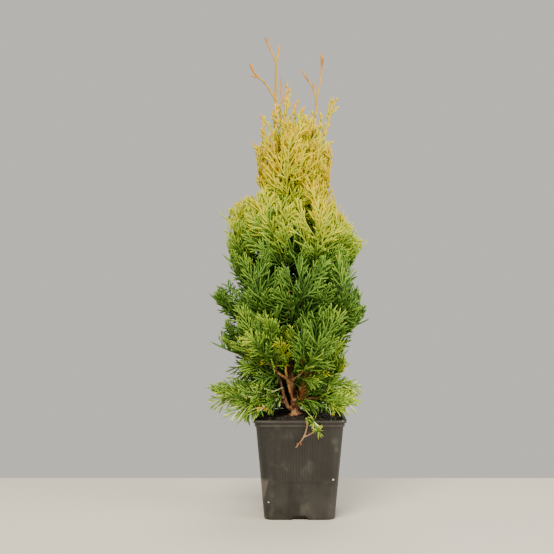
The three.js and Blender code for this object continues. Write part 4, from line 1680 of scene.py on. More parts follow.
        def allowed(middles: Array, ends: Array) -> Array:
            """Which branchlets may stay.

            Args:
                middles: Their middles.
                ends: Their ends.

            Returns:
                True for each that may.
            """
            reach = self.EDGE[0] + self.EDGE[1] * rough.uniform(0, 1, len(ends)) ** 3
            over = self.TOP_SLACK * rough.uniform(0, 1, len(ends)) ** 2 * smooth(*self.TOP_FROM, ends[:, 2])
            inside = open_crown | (self.crown.depth(ends - UP * over[:, None]) < reach)
            stay = inside & (np.abs(ends[:, 1]) < self.DEEPEST)
            for points, least in zip((ends, middles), self.OFF_LIMBS):
                stay &= ~self.in_pot(points) & ~self.in_gap(points) & (self.off_limbs(points) > least)
            return stay

        return allowed

    def mass(self, row: int, habit: Habit) -> Blades:
        """The branchlets of one mass.

        Args:
            row: The mass's row.
            habit: How its fans are filled.

        Returns:
            The branchlets.
        """
        sparse = self.masses[row][0].sparse
        kind = self.SPARSE_HABIT if sparse else habit
        return self.filled(self.fans(row), kind, self.MASS_SEED + row, open_crown=sparse)

    def dress_limbs(self) -> None:
        """Puts bark with its relief on the trunk, the stems and the boughs."""
        for seed, limb in enumerate(self.limbs.values()):
            sides = self.THICK_SIDES if limb.radii[0] > self.THICK_FROM else self.THIN_SIDES
            skin = limb.skin(self.LIMB_STEP, sides, self.LIMB_RELIEF, seed)
            finish = self.YOUNG_BARK if limb.name == "front_stem" else self.BARK
            walls, caps = skin.faces
            golden = np.arange(len(walls)) > self.at_height(limb.curve, self.GOLD_ABOVE) * len(walls)
            skin.slots = [golden.astype(int), np.repeat([0, int(golden[-1])], len(caps) // 2)]
            skin.piece(limb.name + "_bark", [finish, self.GOLDEN_BARK], Slot.BARK, [limb.name])

    def dress_twigs(self) -> None:
        """Puts bark on the stems of all masses, brown at the foot and green further out."""
        skins = []
        for seed, (arm, stem, normal) in enumerate(self.masses):
            part = stem.part(0, min(self.TWIG_MOST, self.tip_start(stem) + self.TWIG_PAST))
            twig = Limb(arm.name, part, self.TWIG_RADII, normal)
            skin = twig.skin(self.TWIG_STEP, self.TWIG_SIDES, self.TWIG_RELIEF, seed)
            walls = len(skin.faces[0])
            green = np.arange(walls) > self.BROWN_SHARE * walls
            skin.slots = [green.astype(int), np.repeat([0, 1], self.TWIG_SIDES)]
            skins.append(skin)
        Shape.joined(skins).piece("twigs", [self.TWIG_BARK, self.GREEN_TWIG], Slot.BARK)

    def dress_masses(self) -> None:
        """Fills the masses and joins them, slot by slot, into pieces that stay small enough."""
        habit = Habit()
        inner = self.inner_fans()
        log.info("%d inner fans", len(inner))
        for slot in (Slot.GREEN, Slot.LIME, Slot.GOLD):
            shapes: list[Shape] = []
            names: list[str] = []
            part = 1
            for row, (arm, _, _) in enumerate(self.masses):
                if self.slot_at(arm.tip) is not slot:
                    continue
                shape = self.mass(row, habit).shape()
                if shapes and sum(s.triangles() for s in shapes) + shape.triangles() > MOST_TRIANGLES:
                    Shape.joined(shapes).piece(f"{slot.value}_{part}", LEAVES, slot, names)
                    shapes, names, part = [], [], part + 1
                shapes.append(shape)
                names.append("foliage_" + arm.name)
            Shape.joined(shapes).piece(f"{slot.value}_{part}", LEAVES, slot, names)
            mine = [fan for fan in inner if self.slot_at(fan.rib.start[2]) is slot]
            # Inner fans above LIT_BELOW take INNER_SHADE, painted shade in darker tints. Those lower down
            # take none.
            lit = [fan for fan in mine if fan.rib.start[2] < self.LIT_BELOW]
            rest = [fan for fan in mine if fan.rib.start[2] >= self.LIT_BELOW]
            parts = [self.filled(rest, habit, len(mine), self.INNER_SHADE)]
            if lit:
                parts.append(self.filled(lit, habit, len(mine) + 1))
            Blades.joined(parts).shape().piece(f"inner_{slot.value}", LEAVES, slot)

    def slot_at(self, height: float) -> Slot:
        """The foliage slot at a height.

        Args:
            height: The height.

        Returns:
            The slot.
        """
        if height > self.GOLD_ABOVE:
            return Slot.GOLD
        return Slot.LIME if height > self.LIME_ABOVE else Slot.GREEN


@dataclass(frozen=True)
class Shoot:
    """One shoot of a bare leader, by the places across and up that it passes."""

    places: tuple[Pair, ...]
    deep: Pair = (0.0, 0.0)
    radii: Pair = (0.95, 0.8)
    scaly: bool = False

    def curve(self) -> Way:
        """Its middle line, which runs evenly from its first depth to its last."""
        depths = np.linspace(*self.deep, len(self.places))
        return Way(np.array([(x, y, z) for (x, z), y in zip(self.places, depths)], float))


@dataclass(frozen=True)
class LeaderTip:
    """A leader that stands bare above the crown, with its few side shoots and scaly ends."""

    name: str
    shoots: tuple[Shoot, ...]
    scale_pitch: float = 1.9
    scale_depth: float = 0.34
    swelling: float = 0.28
    step: float = 0.42
    sides: int = 8

    FEWEST_RINGS = 6
    PLAIN_DEPTH = 1 / 3
    POINT_FROM = 0.8
    POINT_LOSS = 0.6
    STALK = BarkFinish("leader_stalk", ("9c7c22", "c29a30"), ("a48426", "cca438"), 0.40, 0.475)
    SCALES = BarkFinish("leader_scales", ("a8702a", "cf9438"), ("9c6426", "cc8c34"), 0.40, 0.475)

    def rod(self, shoot: Shoot, seed: int) -> Shape:
        """A tapering rod whose skin steps in and out with its scale leaves, and that ends in a point.

        Args:
            shoot: The shoot.
            seed: Turns its scales.

        Returns:
            The rod.
        """
        curve = shoot.curve()
        length = curve.length()
        shares = np.linspace(0, 1, max(self.FEWEST_RINGS, round(length / self.step)) + 1)
        along = (shares * length / self.scale_pitch)[:, None]
        turned = np.where(along.astype(int) % 2, np.pi, 0)
        bulge = np.maximum(np.cos(2 * around(self.sides) + turned + seed), 0)
        depth = self.scale_depth * (1 if shoot.scaly else self.PLAIN_DEPTH)
        radii = mix(*shoot.radii, shares)[:, None] * (1 + depth * (along % 1.0) * bulge)
        if shoot.scaly:
            swell = 1 + self.swelling * np.sin(np.pi * shares)
            swell *= 1 - self.POINT_LOSS * smooth(self.POINT_FROM, 1.0, shares)
            radii = radii * swell[:, None]
        skin = swept(curve.point(shares), curve.tangent(shares), radii)
        skin.slots = [np.full(len(block), int(shoot.scaly)) for block in skin.faces]
        return skin

    def dress(self) -> None:
        """Makes the leader's piece."""
        rods = [self.rod(shoot, seed) for seed, shoot in enumerate(self.shoots)]
        Shape.joined(rods).piece(self.name + "_shoots", [self.STALK, self.SCALES], Slot.SHOOT, [self.name])


LEADER_TIPS = (
    LeaderTip(
        "left_leader_tip",
        (
            Shoot(((-23.4, 409), (-23.6, 414), (-23.2, 432), (-23.0, 450)), radii=(1.3, 1.05)),
            Shoot(((-23.0, 449.5), (-25.6, 456), (-28.6, 463)), (0, -1)),
            Shoot(((-28.4, 462), (-31.0, 468.5), (-34.4, 474.5)), (-1, -2), (0.85, 0.7), True),
            Shoot(((-30.2, 466), (-31.6, 471), (-31.6, 476.3)), (-1, 1), (0.8, 0.65), True),
            Shoot(((-23.0, 449.5), (-21.4, 455), (-20.6, 459)), (0, 1)),
            Shoot(((-20.7, 458), (-20.2, 463), (-19.0, 469.5)), (1, 2), (0.9, 0.7), True),
            Shoot(((-23.6, 412), (-27.5, 419), (-33.5, 428), (-41.0, 434.5)), (0, -4), (1.05, 0.85)),
            Shoot(((-40.4, 434), (-44.5, 438.5), (-50.2, 448.5)), (-4, -5), (0.85, 0.65), True),
            Shoot(((-44.0, 438), (-46.4, 443.5), (-46.8, 448.4)), (-4, -3), (0.8, 0.6), True),
            Shoot(((-40.6, 434), (-44.5, 434.6), (-49.6, 436.6)), (-4, -7), (0.75, 0.5), True),
            Shoot(((-20.6, 404), (-16.9, 413), (-17.9, 422), (-17.6, 437)), (2, 4), (0.8, 0.75), True),
        ),
    ),
    LeaderTip(
        "right_leader_tip",
        (
            Shoot(((16.0, 396), (17.2, 403), (17.0, 414)), radii=(1.25, 1.1)),
            Shoot(((17.0, 413), (19.4, 421), (21.6, 432), (22.0, 438)), (0, 1)),
            Shoot(((22.0, 437), (22.8, 447), (22.4, 454), (20.6, 459.6)), (1, 2), (0.95, 0.65), True),
            Shoot(((22.5, 446), (23.8, 450.5), (24.0, 455.6)), (1, -1), (0.8, 0.6), True),
            Shoot(((17.0, 413), (13.8, 424), (9.4, 431)), (0, -2)),
            Shoot(((9.6, 430.6), (6.4, 435.4), (2.2, 441.8)), (-2, -3), (0.8, 0.6), True),
            Shoot(((13.8, 422), (14.3, 426), (14.2, 431.2)), (-1, -3), (0.75, 0.6), True),
        ),
    ),
)


@dataclass(frozen=True)
class Burst:
    """Leaves that burst from one point of the sprig to all sides of a direction."""

    centre: Sequence[float]
    count: int
    reach: float
    facing: Triple
    tint: Tint
    seed: int

    SPREAD = 0.9
    LIFT = 0.3
    LONG_VARIES = (0.6, 1.05)
    HALF_WIDTH = (0.6, 0.85)

    def leaves(self) -> Blades:
        """The leaves, half of them in the burst's own tint and the rest fresh green.

        Returns:
            The leaves.
        """
        count = self.count
        random = Random(self.seed)
        spread = unit(random.normal(0, 1, (count, 3)) + self.SPREAD * np.array(self.facing))
        half = (self.reach * random.uniform(*self.LONG_VARIES, count))[:, None] * 0.5
        elbow = self.centre + spread * half
        end = elbow + unit(spread + self.LIFT * UP) * half
        side = unit(np.cross(spread, random.normal(0, 1, (count, 3))))
        tints = np.where(random.uniform(0, 1, count) < 0.5, self.tint.place, Tint.FRESH.place)
        wide = random.uniform(*self.HALF_WIDTH, count)
        start = np.repeat(np.array(self.centre, float)[None], count, 0)
        return Blades(start, elbow, end, side, wide, wide * 0.5, tints)


@dataclass(frozen=True)
class Sprig:
    """The weak shoot that hangs over the front rim: a green stalk, a dead end and a fresh tuft."""

    stalk: tuple = (
        (-1, -6, 108), (2.5, -18, 109), (7.5, -38, 104.5), (12, -46.8, 100), (14.2, -49.4, 94.5),
        (15.4, -50, 90),
    )
    hanging: tuple = ((6.9, -47.6, 98.5), (6.4, -48.4, 91), (3.2, -47.6, 82), (-4, -46.3, 72))
    branch: tuple = ((3.4, -47.8, 82.5), (9, -49, 85), (15.4, -50, 89.5))
    radii: Pair = (0.75, 0.5)
    step: float = 0.9
    sides: int = 8
    relief: float = 0.07
    needles: int = 12
    tuft_leaves: int = 17
    dead_leaves: int = 6

    GREEN_STALK = BarkFinish("green_stalk", ("5c7a2c", "93a552"), ("5c7a2c", "a3b262"), 0.08, 0.2)
    DEAD_STALK = BarkFinish("dead_stalk", ("7d5a42", "b08a6a"), ("7d5a42", "b08a6a"), 0.08, 0.2)

    def rod(self, stops: tuple, seed: int) -> Shape:
        """One stalk as a thin barked rod."""
        limb = Limb("stalk", Way(np.array(stops, float)), self.radii)
        return limb.skin(self.step, self.sides, self.relief, seed, 0.0)

    def dress(self) -> None:
        """Makes the sprig's stalks and leaves."""
        self.rod(self.stalk, 1).piece("sprig_stalk", [self.GREEN_STALK], Slot.GREEN, ["low_sprig"])
        dead = Shape.joined([self.rod(self.hanging, 2), self.rod(self.branch, 3)])
        dead.piece("sprig_dead_stalk", [self.DEAD_STALK], Slot.GREEN)
        bend = Way(np.array(self.stalk, float)).point(0.7)
        low = Way(np.array(self.hanging, float)).point(0.85)
        bursts = (
            Burst((17, -50.5, 88.8), self.tuft_leaves, 9.0, (0, -0.5, 0.1), Tint.LIME, 4),
            Burst(bend, self.needles, 9.5, (0, -0.6, -1.3), Tint.PALE, 5),
            Burst((6.9, -47.4, 100.5), self.needles, 8.0, (0, -0.4, -1.4), Tint.LIME, 6),
        )
        ends = Burst(low, self.dead_leaves, 4.2, (0, 0, -1.0), Tint.WITHERED, 7).leaves()
        ends.tint[:] = Tint.WITHERED.place
        leaves = Blades.joined([*(burst.leaves() for burst in bursts), ends])
        leaves.shape().piece("sprig_leaves", LEAVES, Slot.GREEN)


@dataclass(frozen=True)
class SingleSprays:
    """Sprays that the photograph shows one by one: each a root, a tip, a half width and a tone."""

    name: str
    slot: Slot
    habit: Habit
    rows: tuple
    arch: float = 4.0
    pale: float = 0.0
    seed: int = 77

    PALE_BELOW = 130
    FACING = 262

    def dress(self, allowed: Allowed) -> None:
        """Makes one piece of all these sprays, as far as they may stay. One without a tone is dead.

        Args:
            allowed: The rule for which branchlets may stay.
        """
        random = Random(self.seed)
        parts = []
        for root, tip, half_width, tone in self.rows:
            start, end = np.array(root, float), np.array(tip, float)
            side = unit(np.cross(end - start, towards(self.FACING)))
            fan = Fan(Bend(start, mix(start, end, 0.5) + UP * self.arch, end), side, half_width)
            blades = self.habit.fill(fan, tone or 0.0, random, allowed)
            tint = blades.tint
            # Low front sprays take some pale branchlets: partly pale real twigs, partly painted highlight.
            pale = random.uniform(0, 1, len(tint)) < self.pale
            if tone is None:
                tint = np.full(len(tint), Tint.WITHERED.place)
            elif end[1] <= 0 and end[2] <= self.PALE_BELOW:
                tint = np.where(pale, Tint.PALE.place, tint)
            parts.append(replace(blades, tint=tint))
        Blades.joined(parts).shape().piece(self.name, LEAVES, self.slot)


LOW_SPRAYS = SingleSprays(
    "low_sprays", Slot.GREEN, Habit(pitch=3.2, reach=2.2, spread=0.3),
    (
        ((3, -10, 122), (8, -33, 155), 5.5, None), ((0, -12, 104), (4, -34, 129), 5.0, None),
        ((3, -6, 126), (4, -19, 156), 7.0, None), ((5, -4, 122), (12, -17, 147), 6.0, None),
        ((-1, -7, 116), (9, -20, 139), 5.0, None), ((-1, -12, 103), (9, -20, 126), 4.0, None),
        ((0, -12, 105), (3, -20, 134), 4.0, None), ((2, -10, 108), (13, -18, 130), 4.0, None),
        ((-26, -30, 104), (-41, -46, 109), 4.0, 6.6), ((-12, -21, 150), (-52, -56, 178), 11.0, 3.1),
        ((-12, -22, 152), (-34, -60, 196), 10.0, 2.9), ((-11, -22, 152), (-9, -58, 188), 7.0, 3.7),
        ((-12, -21, 150), (-22, -60, 174), 7.0, 4.2), ((-10, -14, 148), (-38, -34, 152), 4.0, 5.0),
        ((8, -8, 130), (28, -32, 141), 5.0, 4.4), ((-20, -14, 138), (-57, -34, 150), 9.0, 2.5),
        ((-20, -4, 140), (-50, -10, 142), 9.0, 2.2), ((-16, -10, 126), (-64, -36, 103), 13.0, 2.3),
        ((-22, -8, 128), (-82, -20, 112), 12.0, 2.2), ((-16, -12, 118), (-44, -42, 103), 10.0, 2.8),
        ((4, -10, 124), (50, -34, 110), 12.0, 2.9), ((6, -8, 130), (58, -20, 126), 10.0, 2.7),
        ((10, -6, 118), (38, -38, 106), 8.0, 3.3), ((-2, -16, 114), (20, -36, 112), 7.0, 2.4),
        ((-4, -16, 112), (8, -34, 106), 5.0, 2.4), ((-6, 8, 108), (-38, 30, 126), 13.0, 2.0),
        ((4, 8, 108), (34, 34, 126), 12.0, 2.0), ((-8, 20, 110), (-30, 50, 104), 12.0, 1.8),
        ((0, 22, 110), (-6, 54, 105), 12.0, 1.7), ((6, 20, 110), (26, 50, 104), 12.0, 1.8),
        ((-8, 26, 104), (-28, 49, 101), 8.0, 1.6), ((-2, 26, 104), (-14, 50, 101), 8.0, 1.6),
        ((2, 26, 104), (10, 50, 101), 8.0, 1.6), ((-10, 24, 106), (-40, 46, 103), 8.0, 1.9),
        ((0, 28, 99), (-28, 40, 99), 5.0, 1.9), ((-1, 22, 98), (-20, 30, 99), 5.0, 1.9),
    ),
    pale=0.3,
)
TOP_SPRAYS = SingleSprays(
    "golden_top_sprays", Slot.GOLD,
    Habit(pitch=3.4, angles=(27, 15), reach=1.9, sub_from=99.0, spread=0.5),
    (
        ((-22, -5, 350), (-21, -9, 384), 4.5, 5.4), ((-13, 0, 396), (-8.2, 0, 425), 4.5, 6.0),
        ((-14, 2, 394), (-12.5, 1, 416), 3.5, 5.7), ((-9.6, -2, 392), (-0.6, -2, 413), 4.5, 6.2),
        ((1.5, -2, 384), (3.6, -3, 405), 5.0, 6.0), ((-25, 0, 378), (-36.8, 1, 396.5), 4.0, 5.0),
        ((-33, 0, 362), (-38.6, -1, 384.5), 4.5, 5.2), ((-36, -2, 357), (-46.5, -2, 368.5), 4.0, 5.6),
        ((19.5, 0, 374), (22.5, -1, 400), 4.5, 5.6), ((22, 2, 370), (27, 3, 392), 4.0, 5.0),
        ((28, 0, 394), (32.3, 0, 415), 3.0, 5.6), ((29, 0, 397), (38.5, -1, 415.5), 3.0, 5.8),
        ((31, -1, 397), (40, -2, 406), 2.5, 5.2), ((20, -2, 356), (34.5, -3, 371.5), 4.5, 5.4),
        ((22, 2, 338), (34, 2, 352), 4.5, 5.3), ((-21, -2, 382), (-21.8, -2, 409), 3.5, 6.2),
        ((-24.5, 1, 384), (-26, 1, 404), 3.5, 5.9), ((13, -3, 380), (13.5, -4, 396), 4.0, 5.2),
        ((-4, 4, 388), (-4, 5, 407), 4.0, 5.6), ((-18, 4, 388), (-19, 6, 408), 4.0, 5.6),
        ((9, 4, 380), (8, 6, 398), 4.0, 5.4),
    ),
    arch=0.0,
)


@dataclass(frozen=True)
class PotShell:
    """The square nursery pot: a thin tapered shell with a stepped rim, fine ribs and drain notches."""

    height: float = 98
    base_width: float = 69
    body_top_width: float = 84.8
    band_width: float = 87.2
    band_bottom: float = 91
    lip_width: float = 90.4
    lip_bottom: float = 95
    wall: float = 1.3
    floor: float = 1.8
    corner: float = 9
    lip_corner: float = 7
    bevel: float = 1.2
    step: float = 0.35
    rib_pitch: float = 2.65
    rib_reach: float = 21.2
    rib_edge: float = 1.5
    rib_depth: float = 0.34
    rib_fade: float = 1.2
    rib_heights: Pair = (39.5, 89.6)
    ridge_height: float = 36.4
    ridge_half: float = 0.7
    ridge_reach: float = 19.6
    ridge_depth: float = 0.16
    corner_steps: int = 7
    notch: tuple[float, float, float, float] = (16, 12, 4.2, 5)
    notch_waist: Pair = (0.5, 0.6)
    drain: tuple[float, float, int] = (4, 22, 24)
    cut_past: float = 2

    FINISH = PotFinish()
    BEYOND_RIBS = np.array([0.25, 0.6, 1.0])
    BELOW_RIBS = (4, 10, 20, 30)
    ACROSS_RIDGE = (-0.8, -0.4, 0, 0.4, 0.8)
    ALONG_RIBS = (48, 82, 6)
    UNDER_BAND = 90.4
    BEVEL_RINGS = ((2, 1, 0), (0.9, 0.4, 0.3))
    SHARP = 34

    def columns(self, flat: float) -> Array:
        """The places across one flat side, with four to each rib and a few beyond the ribs.

        Args:
            flat: Half the flat side's width.

        Returns:
            The places.
        """
        ribs = np.arange(-self.rib_reach, self.rib_reach + 0.01, self.rib_pitch / 4)
        beyond = ribs[-1] + (flat - ribs[-1]) * self.BEYOND_RIBS
        return np.concatenate([-beyond[::-1], ribs, beyond])

    def relief(self, across: Array, height: float) -> Array:
        """How far the skin stands back from a flat side: the ribs' grooves and the line below them.

        Args:
            across: Places across the side.
            height: The height.

        Returns:
            A depth for each.
        """
        low, high = self.rib_heights
        fade, aside = self.rib_fade, np.abs(across)
        here = float(smooth(low, low + fade, height) * (1 - smooth(high - fade, high, height)))
        side = 1 - smooth(self.rib_reach - self.rib_edge, self.rib_reach, aside)
        grooves = (0.5 - 0.5 * np.cos(2 * np.pi * across / self.rib_pitch)) * here * side
        line = max(0.0, 1 - abs(height - self.ridge_height) / self.ridge_half)
        below = line * (1 - smooth(self.ridge_reach - 1, self.ridge_reach, aside))
        return self.rib_depth * grooves + self.ridge_depth * below

    def ring(self, width: float, corner: float, height: float, carved: bool = False) -> Array:
        """One level ring of the skin, anticlockwise from above.

        Args:
            width: The width from side to side.
            corner: The corners' radius.
            height: Its height.
            carved: Whether the ribs show on it.

        Returns:
            The ring's points.
        """
        flat = width / 2 - corner
        across = self.columns(flat)
        back = self.relief(across, height) if carved else np.zeros(len(across))
        arc = np.linspace(0, np.pi / 2, self.corner_steps + 1)[1:-1, None]
        points = []
        for quarter in range(4):
            along, out = towards(90 * quarter), towards(90 * quarter - 90)
            points.append(across[:, None] * along + (width / 2 - back)[:, None] * out)
            points.append((along + out) * flat + corner * (np.cos(arc) * out + np.sin(arc) * along))
        return np.vstack(points) + UP * height

    def body_width(self, height: float) -> float:
        """The width of the tapered body at a height, outside the wall."""
        return float(np.interp(height, (0, self.band_bottom), (self.base_width, self.body_top_width)))

    def rings(self) -> Array:
        """All rings: up the outside, over the rim and down the inside to the floor.

        Returns:
            The rings, as rings by points by 3.
        """
        low, high = self.rib_heights
        heights = [
            self.bevel, *self.BELOW_RIBS, *(self.ridge_height + d for d in self.ACROSS_RIDGE),
            *np.linspace(low, low + self.rib_fade, 4), *np.linspace(*self.ALONG_RIBS),
            *np.linspace(high - self.rib_fade, high, 4), self.UNDER_BAND,
        ]
        base, body, band, lip = self.base_width, self.body_top_width, self.band_width, self.lip_width
        corner, outer, inner = self.corner, self.lip_corner, self.corner - self.wall
        bevel, step, walls = self.bevel, self.step, 2 * self.wall
        under, edge, top = self.band_bottom, self.lip_bottom, self.height
        rim = [
            (body, corner, under - step),
            (body + step, corner, under),
            (band - step, corner, under),
            (band, corner, under + step),
            (band, corner, edge - step),
            (band + step, corner - step, edge),
            (lip - step, outer, edge),
            (lip, outer, edge + step),
            (lip, outer, top - 2 * step),
            (lip - step, outer, top - 0.5 * step),
            (lip - 3 * step, outer, top),
            (band - walls + step, inner, top),
            (band - walls, inner, top - step),
            (body - walls, inner, under),
            (self.body_width(self.floor) - walls, inner, self.floor),
        ]
        return np.array([
            *(self.ring(base - a * bevel, corner - b * bevel, z) for a, b, z in self.BEVEL_RINGS),
            *(self.ring(self.body_width(z), corner, z, True) for z in heights),
            *(self.ring(*sizes) for sizes in rim),
        ])

    def cutters(self) -> Shape:
        """The four drain notches under the sides and the four drain holes in the floor.

        Returns:
            All eight as one shape.
        """
        width, top_width, high, deep = self.notch
        inward, share = self.notch_waist
        radius, offset, sides = self.drain
        angles = around(sides)
        circle = np.stack([np.cos(angles), np.sin(angles), 0 * angles], -1) * radius
        right = [(width / 2, -1.0), (width / 2 - inward, high * share), (top_width / 2, high)]
        outline = [(-width / 2, -1.0), *right, *((-x, z) for x, z in right[:0:-1])]
        shapes = []
        for quarter in range(4):
            along, out = towards(90 * quarter), towards(90 * quarter - 90)
            flat = np.array([along * x + UP * z for x, z in outline])
            inner = flat + out * (self.base_width / 2 - deep)
            shapes.append(loft(np.array([inner, flat + out * (self.base_width / 2 + self.cut_past)])))
            hole = circle + (along + out) * offset
            shapes.append(loft(np.array([hole - UP * self.cut_past, hole + UP * self.cut_past * self.floor])))
        return Shape.joined(shapes)

    def dress(self) -> None:
        """Makes the pot, with its notches and drain holes cut."""
        pot = loft(self.rings()).piece("nursery_pot", [self.FINISH], Slot.POT, ["pot"], self.SHARP)
        tools = self.cutters().piece("notch_tools", [], Slot.POT)
        cut = pot.modifiers.new("notches", "BOOLEAN")
        cut.operation = "DIFFERENCE"
        cut.object = tools
        bpy.context.view_layer.update()
        mesh = bpy.data.meshes.new_from_object(pot.evaluated_get(bpy.context.evaluated_depsgraph_get()))
        pot.modifiers.clear()
        pot.data = mesh
        mesh.set_sharp_from_angle(angle=math.radians(self.SHARP))
        bpy.data.objects.remove(tools)


@dataclass(frozen=True)
class SoilBed:
    """Potting soil with a rough mound up to the stems, loose crumbs, fibres and perlite."""

    edge: float = 93.2
    gap: float = 0.45
    mound: tuple = ((0.0, 98.2), (0.25, 97.2), (0.62, 95.4), (1.0, 93.2))
    shell: PotShell = PotShell()
    rings: int = 34
    points: int = 128
    squareness: Pair = (2.0, 7.0)
    foot_share: float = 0.985
    middle_share: float = 0.03
    lump: float = 1.5
    over_rim: float = 0.3
    crumbs: int = 900
    chips: int = 110
    grains: int = 26
    fibres: int = 90
    seed: int = 21

    EARTH = SoilFinish("potting_soil", ("060403", "110b08", "291c14"))
    CHIP = SoilFinish("bark_chips", ("2a1a10", "4d3320", "7a5636"))
    PERLITE = SoilFinish("perlite", ("b9b5ac", "dad7d0", "f0eee9"), 0.95)
    FIBRE = BarkFinish("soil_fibres", ("4a3322", "8a6748"), ("4a3322", "8a6748"))
    ROUGH = ((0.09, 3.1, 0.7), (0.33, 8.7, 0.5), (0.9, 1.3, 0.28))
    CALM_MIDDLE = (0.75, 90)
    CALM_EDGE = (0.5, 8)
    STUCK = ((32.2, -37.6, 39.8), (-30.2, -35.7, 17.6))
    STUCK_SIZES = (1.0, 0.85)
    CRUMB_SIZES = (0.3, 1.7)
    CHIP_SIZES = (0.5, 1.3)
    GRAIN_SIZES = (0.5, 1.0)
    THREAD_LENGTHS = (2, 8)
    THREAD_HALF_WIDTHS = (0.14, 0.34)
    THREAD_FLATNESS = np.array([1, 1, 0.18])
    THREAD_LIFT = 0.3
    THREAD_ARCH = 1.2
    THREAD_END = (-0.4, 0.6)
    STRETCH = (0.55, 1.25)
    DENTS = (0.75, 1.2)
    GOLDEN = (1 + 5**0.5) / 2
    CORNERS = unit(
        np.array(
            [(-1, GOLDEN, 0), (1, GOLDEN, 0), (-1, -GOLDEN, 0), (1, -GOLDEN, 0),
             (0, -1, GOLDEN), (0, 1, GOLDEN), (0, -1, -GOLDEN), (0, 1, -GOLDEN),
             (GOLDEN, 0, -1), (GOLDEN, 0, 1), (-GOLDEN, 0, -1), (-GOLDEN, 0, 1)]
        )
    )
    FACES = np.array(
        [(0, 11, 5), (0, 5, 1), (0, 1, 7), (0, 7, 10), (0, 10, 11), (1, 5, 9), (5, 11, 4), (11, 10, 2),
         (10, 7, 6), (7, 1, 8), (3, 9, 4), (3, 4, 2), (3, 2, 6), (3, 6, 8), (3, 8, 9), (4, 9, 5),
         (2, 4, 11), (6, 2, 10), (8, 6, 7), (9, 8, 1)]
    )

    def half_width(self) -> float:
        """Half the bed's width at its edge, inside the wall."""
        return self.shell.body_width(self.edge) / 2 - self.shell.wall - self.gap

    def outline(self, share: float) -> Array:
        """A rounded square at a share of the bed's width, as level points.

        Args:
            share: The share.

        Returns:
            The points.
        """
        angles = around(self.points)
        circle = np.stack([np.cos(angles), np.sin(angles)], -1)
        sharp = mix(*self.squareness, share**2)
        reach = (np.abs(circle) ** sharp).sum(-1) ** (-1 / sharp)
        return circle * (reach * self.half_width() * share)[:, None]

    def height_at(self, x: float, y: float) -> float:
        """The height of the soil's rough top at a place.

        Args:
            x: The place across.
            y: The place along Y.

        Returns:
            The height.
        """
        share = min(1.0, max(abs(x), abs(y)) / self.half_width())
        rough = sum(
            weight * noise.noise(Vector((x * scale, y * scale, layer))) for scale, layer, weight in self.ROUGH
        )
        flatter, spread = self.CALM_MIDDLE
        calm = 1 - flatter * math.exp(-(x * x + y * y) / spread)
        flatter, power = self.CALM_EDGE
        rough = self.lump * rough * calm * (1 - flatter * share**power)
        return min(read(self.mound, share) + rough, self.shell.height + self.over_rim)

    def on_top(self, flat: Array) -> Array:
        """Points on the soil's top above these level places."""
        return np.array([(x, y, self.height_at(x, y)) for x, y in flat])

    def bed(self) -> Shape:
        """The bed's closed skin: its sides in the pot and its rough top.

        Returns:
            The bed.
        """
        floor = self.shell.floor + CLEARANCE
        narrower = self.shell.body_width(floor) / self.shell.body_width(self.edge) * self.foot_share
        rings = [np.column_stack([self.outline(1.0) * narrower, np.full(self.points, floor)])]
        for share in np.linspace(1.0, self.middle_share, self.rings):
            rings.append(self.on_top(self.outline(float(share))))
        return loft(np.array(rings))

    def lumps(self, places: Array, sizes: Array, random: Random) -> Shape:
        """Small uneven lumps, twelve-cornered and each its own shape.

        Args:
            places: Their middles.
            sizes: Their radii.
            random: Draws their shapes.

        Returns:
            The lumps as one shape.
        """
        count, corners = len(places), len(self.CORNERS)
        stretch = random.uniform(*self.STRETCH, (count, 1, 3))
        dents = random.uniform(*self.DENTS, (count, corners, 1))
        skins = places[:, None] + self.CORNERS[None] * dents * stretch * sizes[:, None, None]
        offsets = (np.arange(count) * corners)[:, None, None]
        return Shape(skins.reshape(-1, 3), [(self.FACES[None] + offsets).reshape(-1, 3)])

    def scatter(self, count: int, random: Random) -> Array:
        """Places on the soil's top, clear of the wall."""
        reach = self.half_width() - self.lump
        return self.on_top(random.uniform(-reach, reach, (count, 2)))

    def threads(self, random: Random) -> Blades:
        """Fine root and peat fibres that lie on the soil.

        Args:
            random: Draws the small differences.

        Returns:
            The fibres.
        """
        count = self.fibres
        start = self.scatter(count, random) + UP * self.THREAD_LIFT
        heading = unit(random.normal(0, 1, (count, 3)) * self.THREAD_FLATNESS)
        long = random.uniform(*self.THREAD_LENGTHS, (count, 1))
        bend = start + heading * long * 0.5 + UP * random.uniform(0, self.THREAD_ARCH, (count, 1))
        inside = self.half_width() - 1
        end = np.clip(start + heading * long, -inside, inside)
        end[:, 2] = start[:, 2] + random.uniform(*self.THREAD_END, count)
        wide = random.uniform(*self.THREAD_HALF_WIDTHS, count)
        return Blades(start, bend, end, np.repeat(UP[None], count, 0), wide, wide, np.zeros(count, int))

    def dress(self) -> None:
        """Makes the bed, its crumbs and chips, its perlite and its fibres."""
        random = Random(self.seed)
        self.bed().piece("soil_bed", [self.EARTH], Slot.SOIL, ["soil"])
        least, most = self.CRUMB_SIZES
        sizes = np.minimum(random.gamma(3.0, 0.2, self.crumbs) + least, most)
        crumbs = self.lumps(self.scatter(self.crumbs, random), sizes, random)
        crumbs.piece("soil_crumbs", [self.EARTH], Slot.SOIL)
        places = self.scatter(self.chips, random)
        chips = self.lumps(places, random.uniform(*self.CHIP_SIZES, self.chips), random)
        chips.piece("soil_chips", [self.CHIP], Slot.SOIL)
        places = np.vstack([self.scatter(self.grains, random), self.STUCK])
        sizes = np.append(random.uniform(*self.GRAIN_SIZES, self.grains), self.STUCK_SIZES)
        self.lumps(places, sizes, random).piece("perlite", [self.PERLITE], Slot.SOIL)
        self.threads(random).shape().piece("soil_fibres", [self.FIBRE], Slot.SOIL)


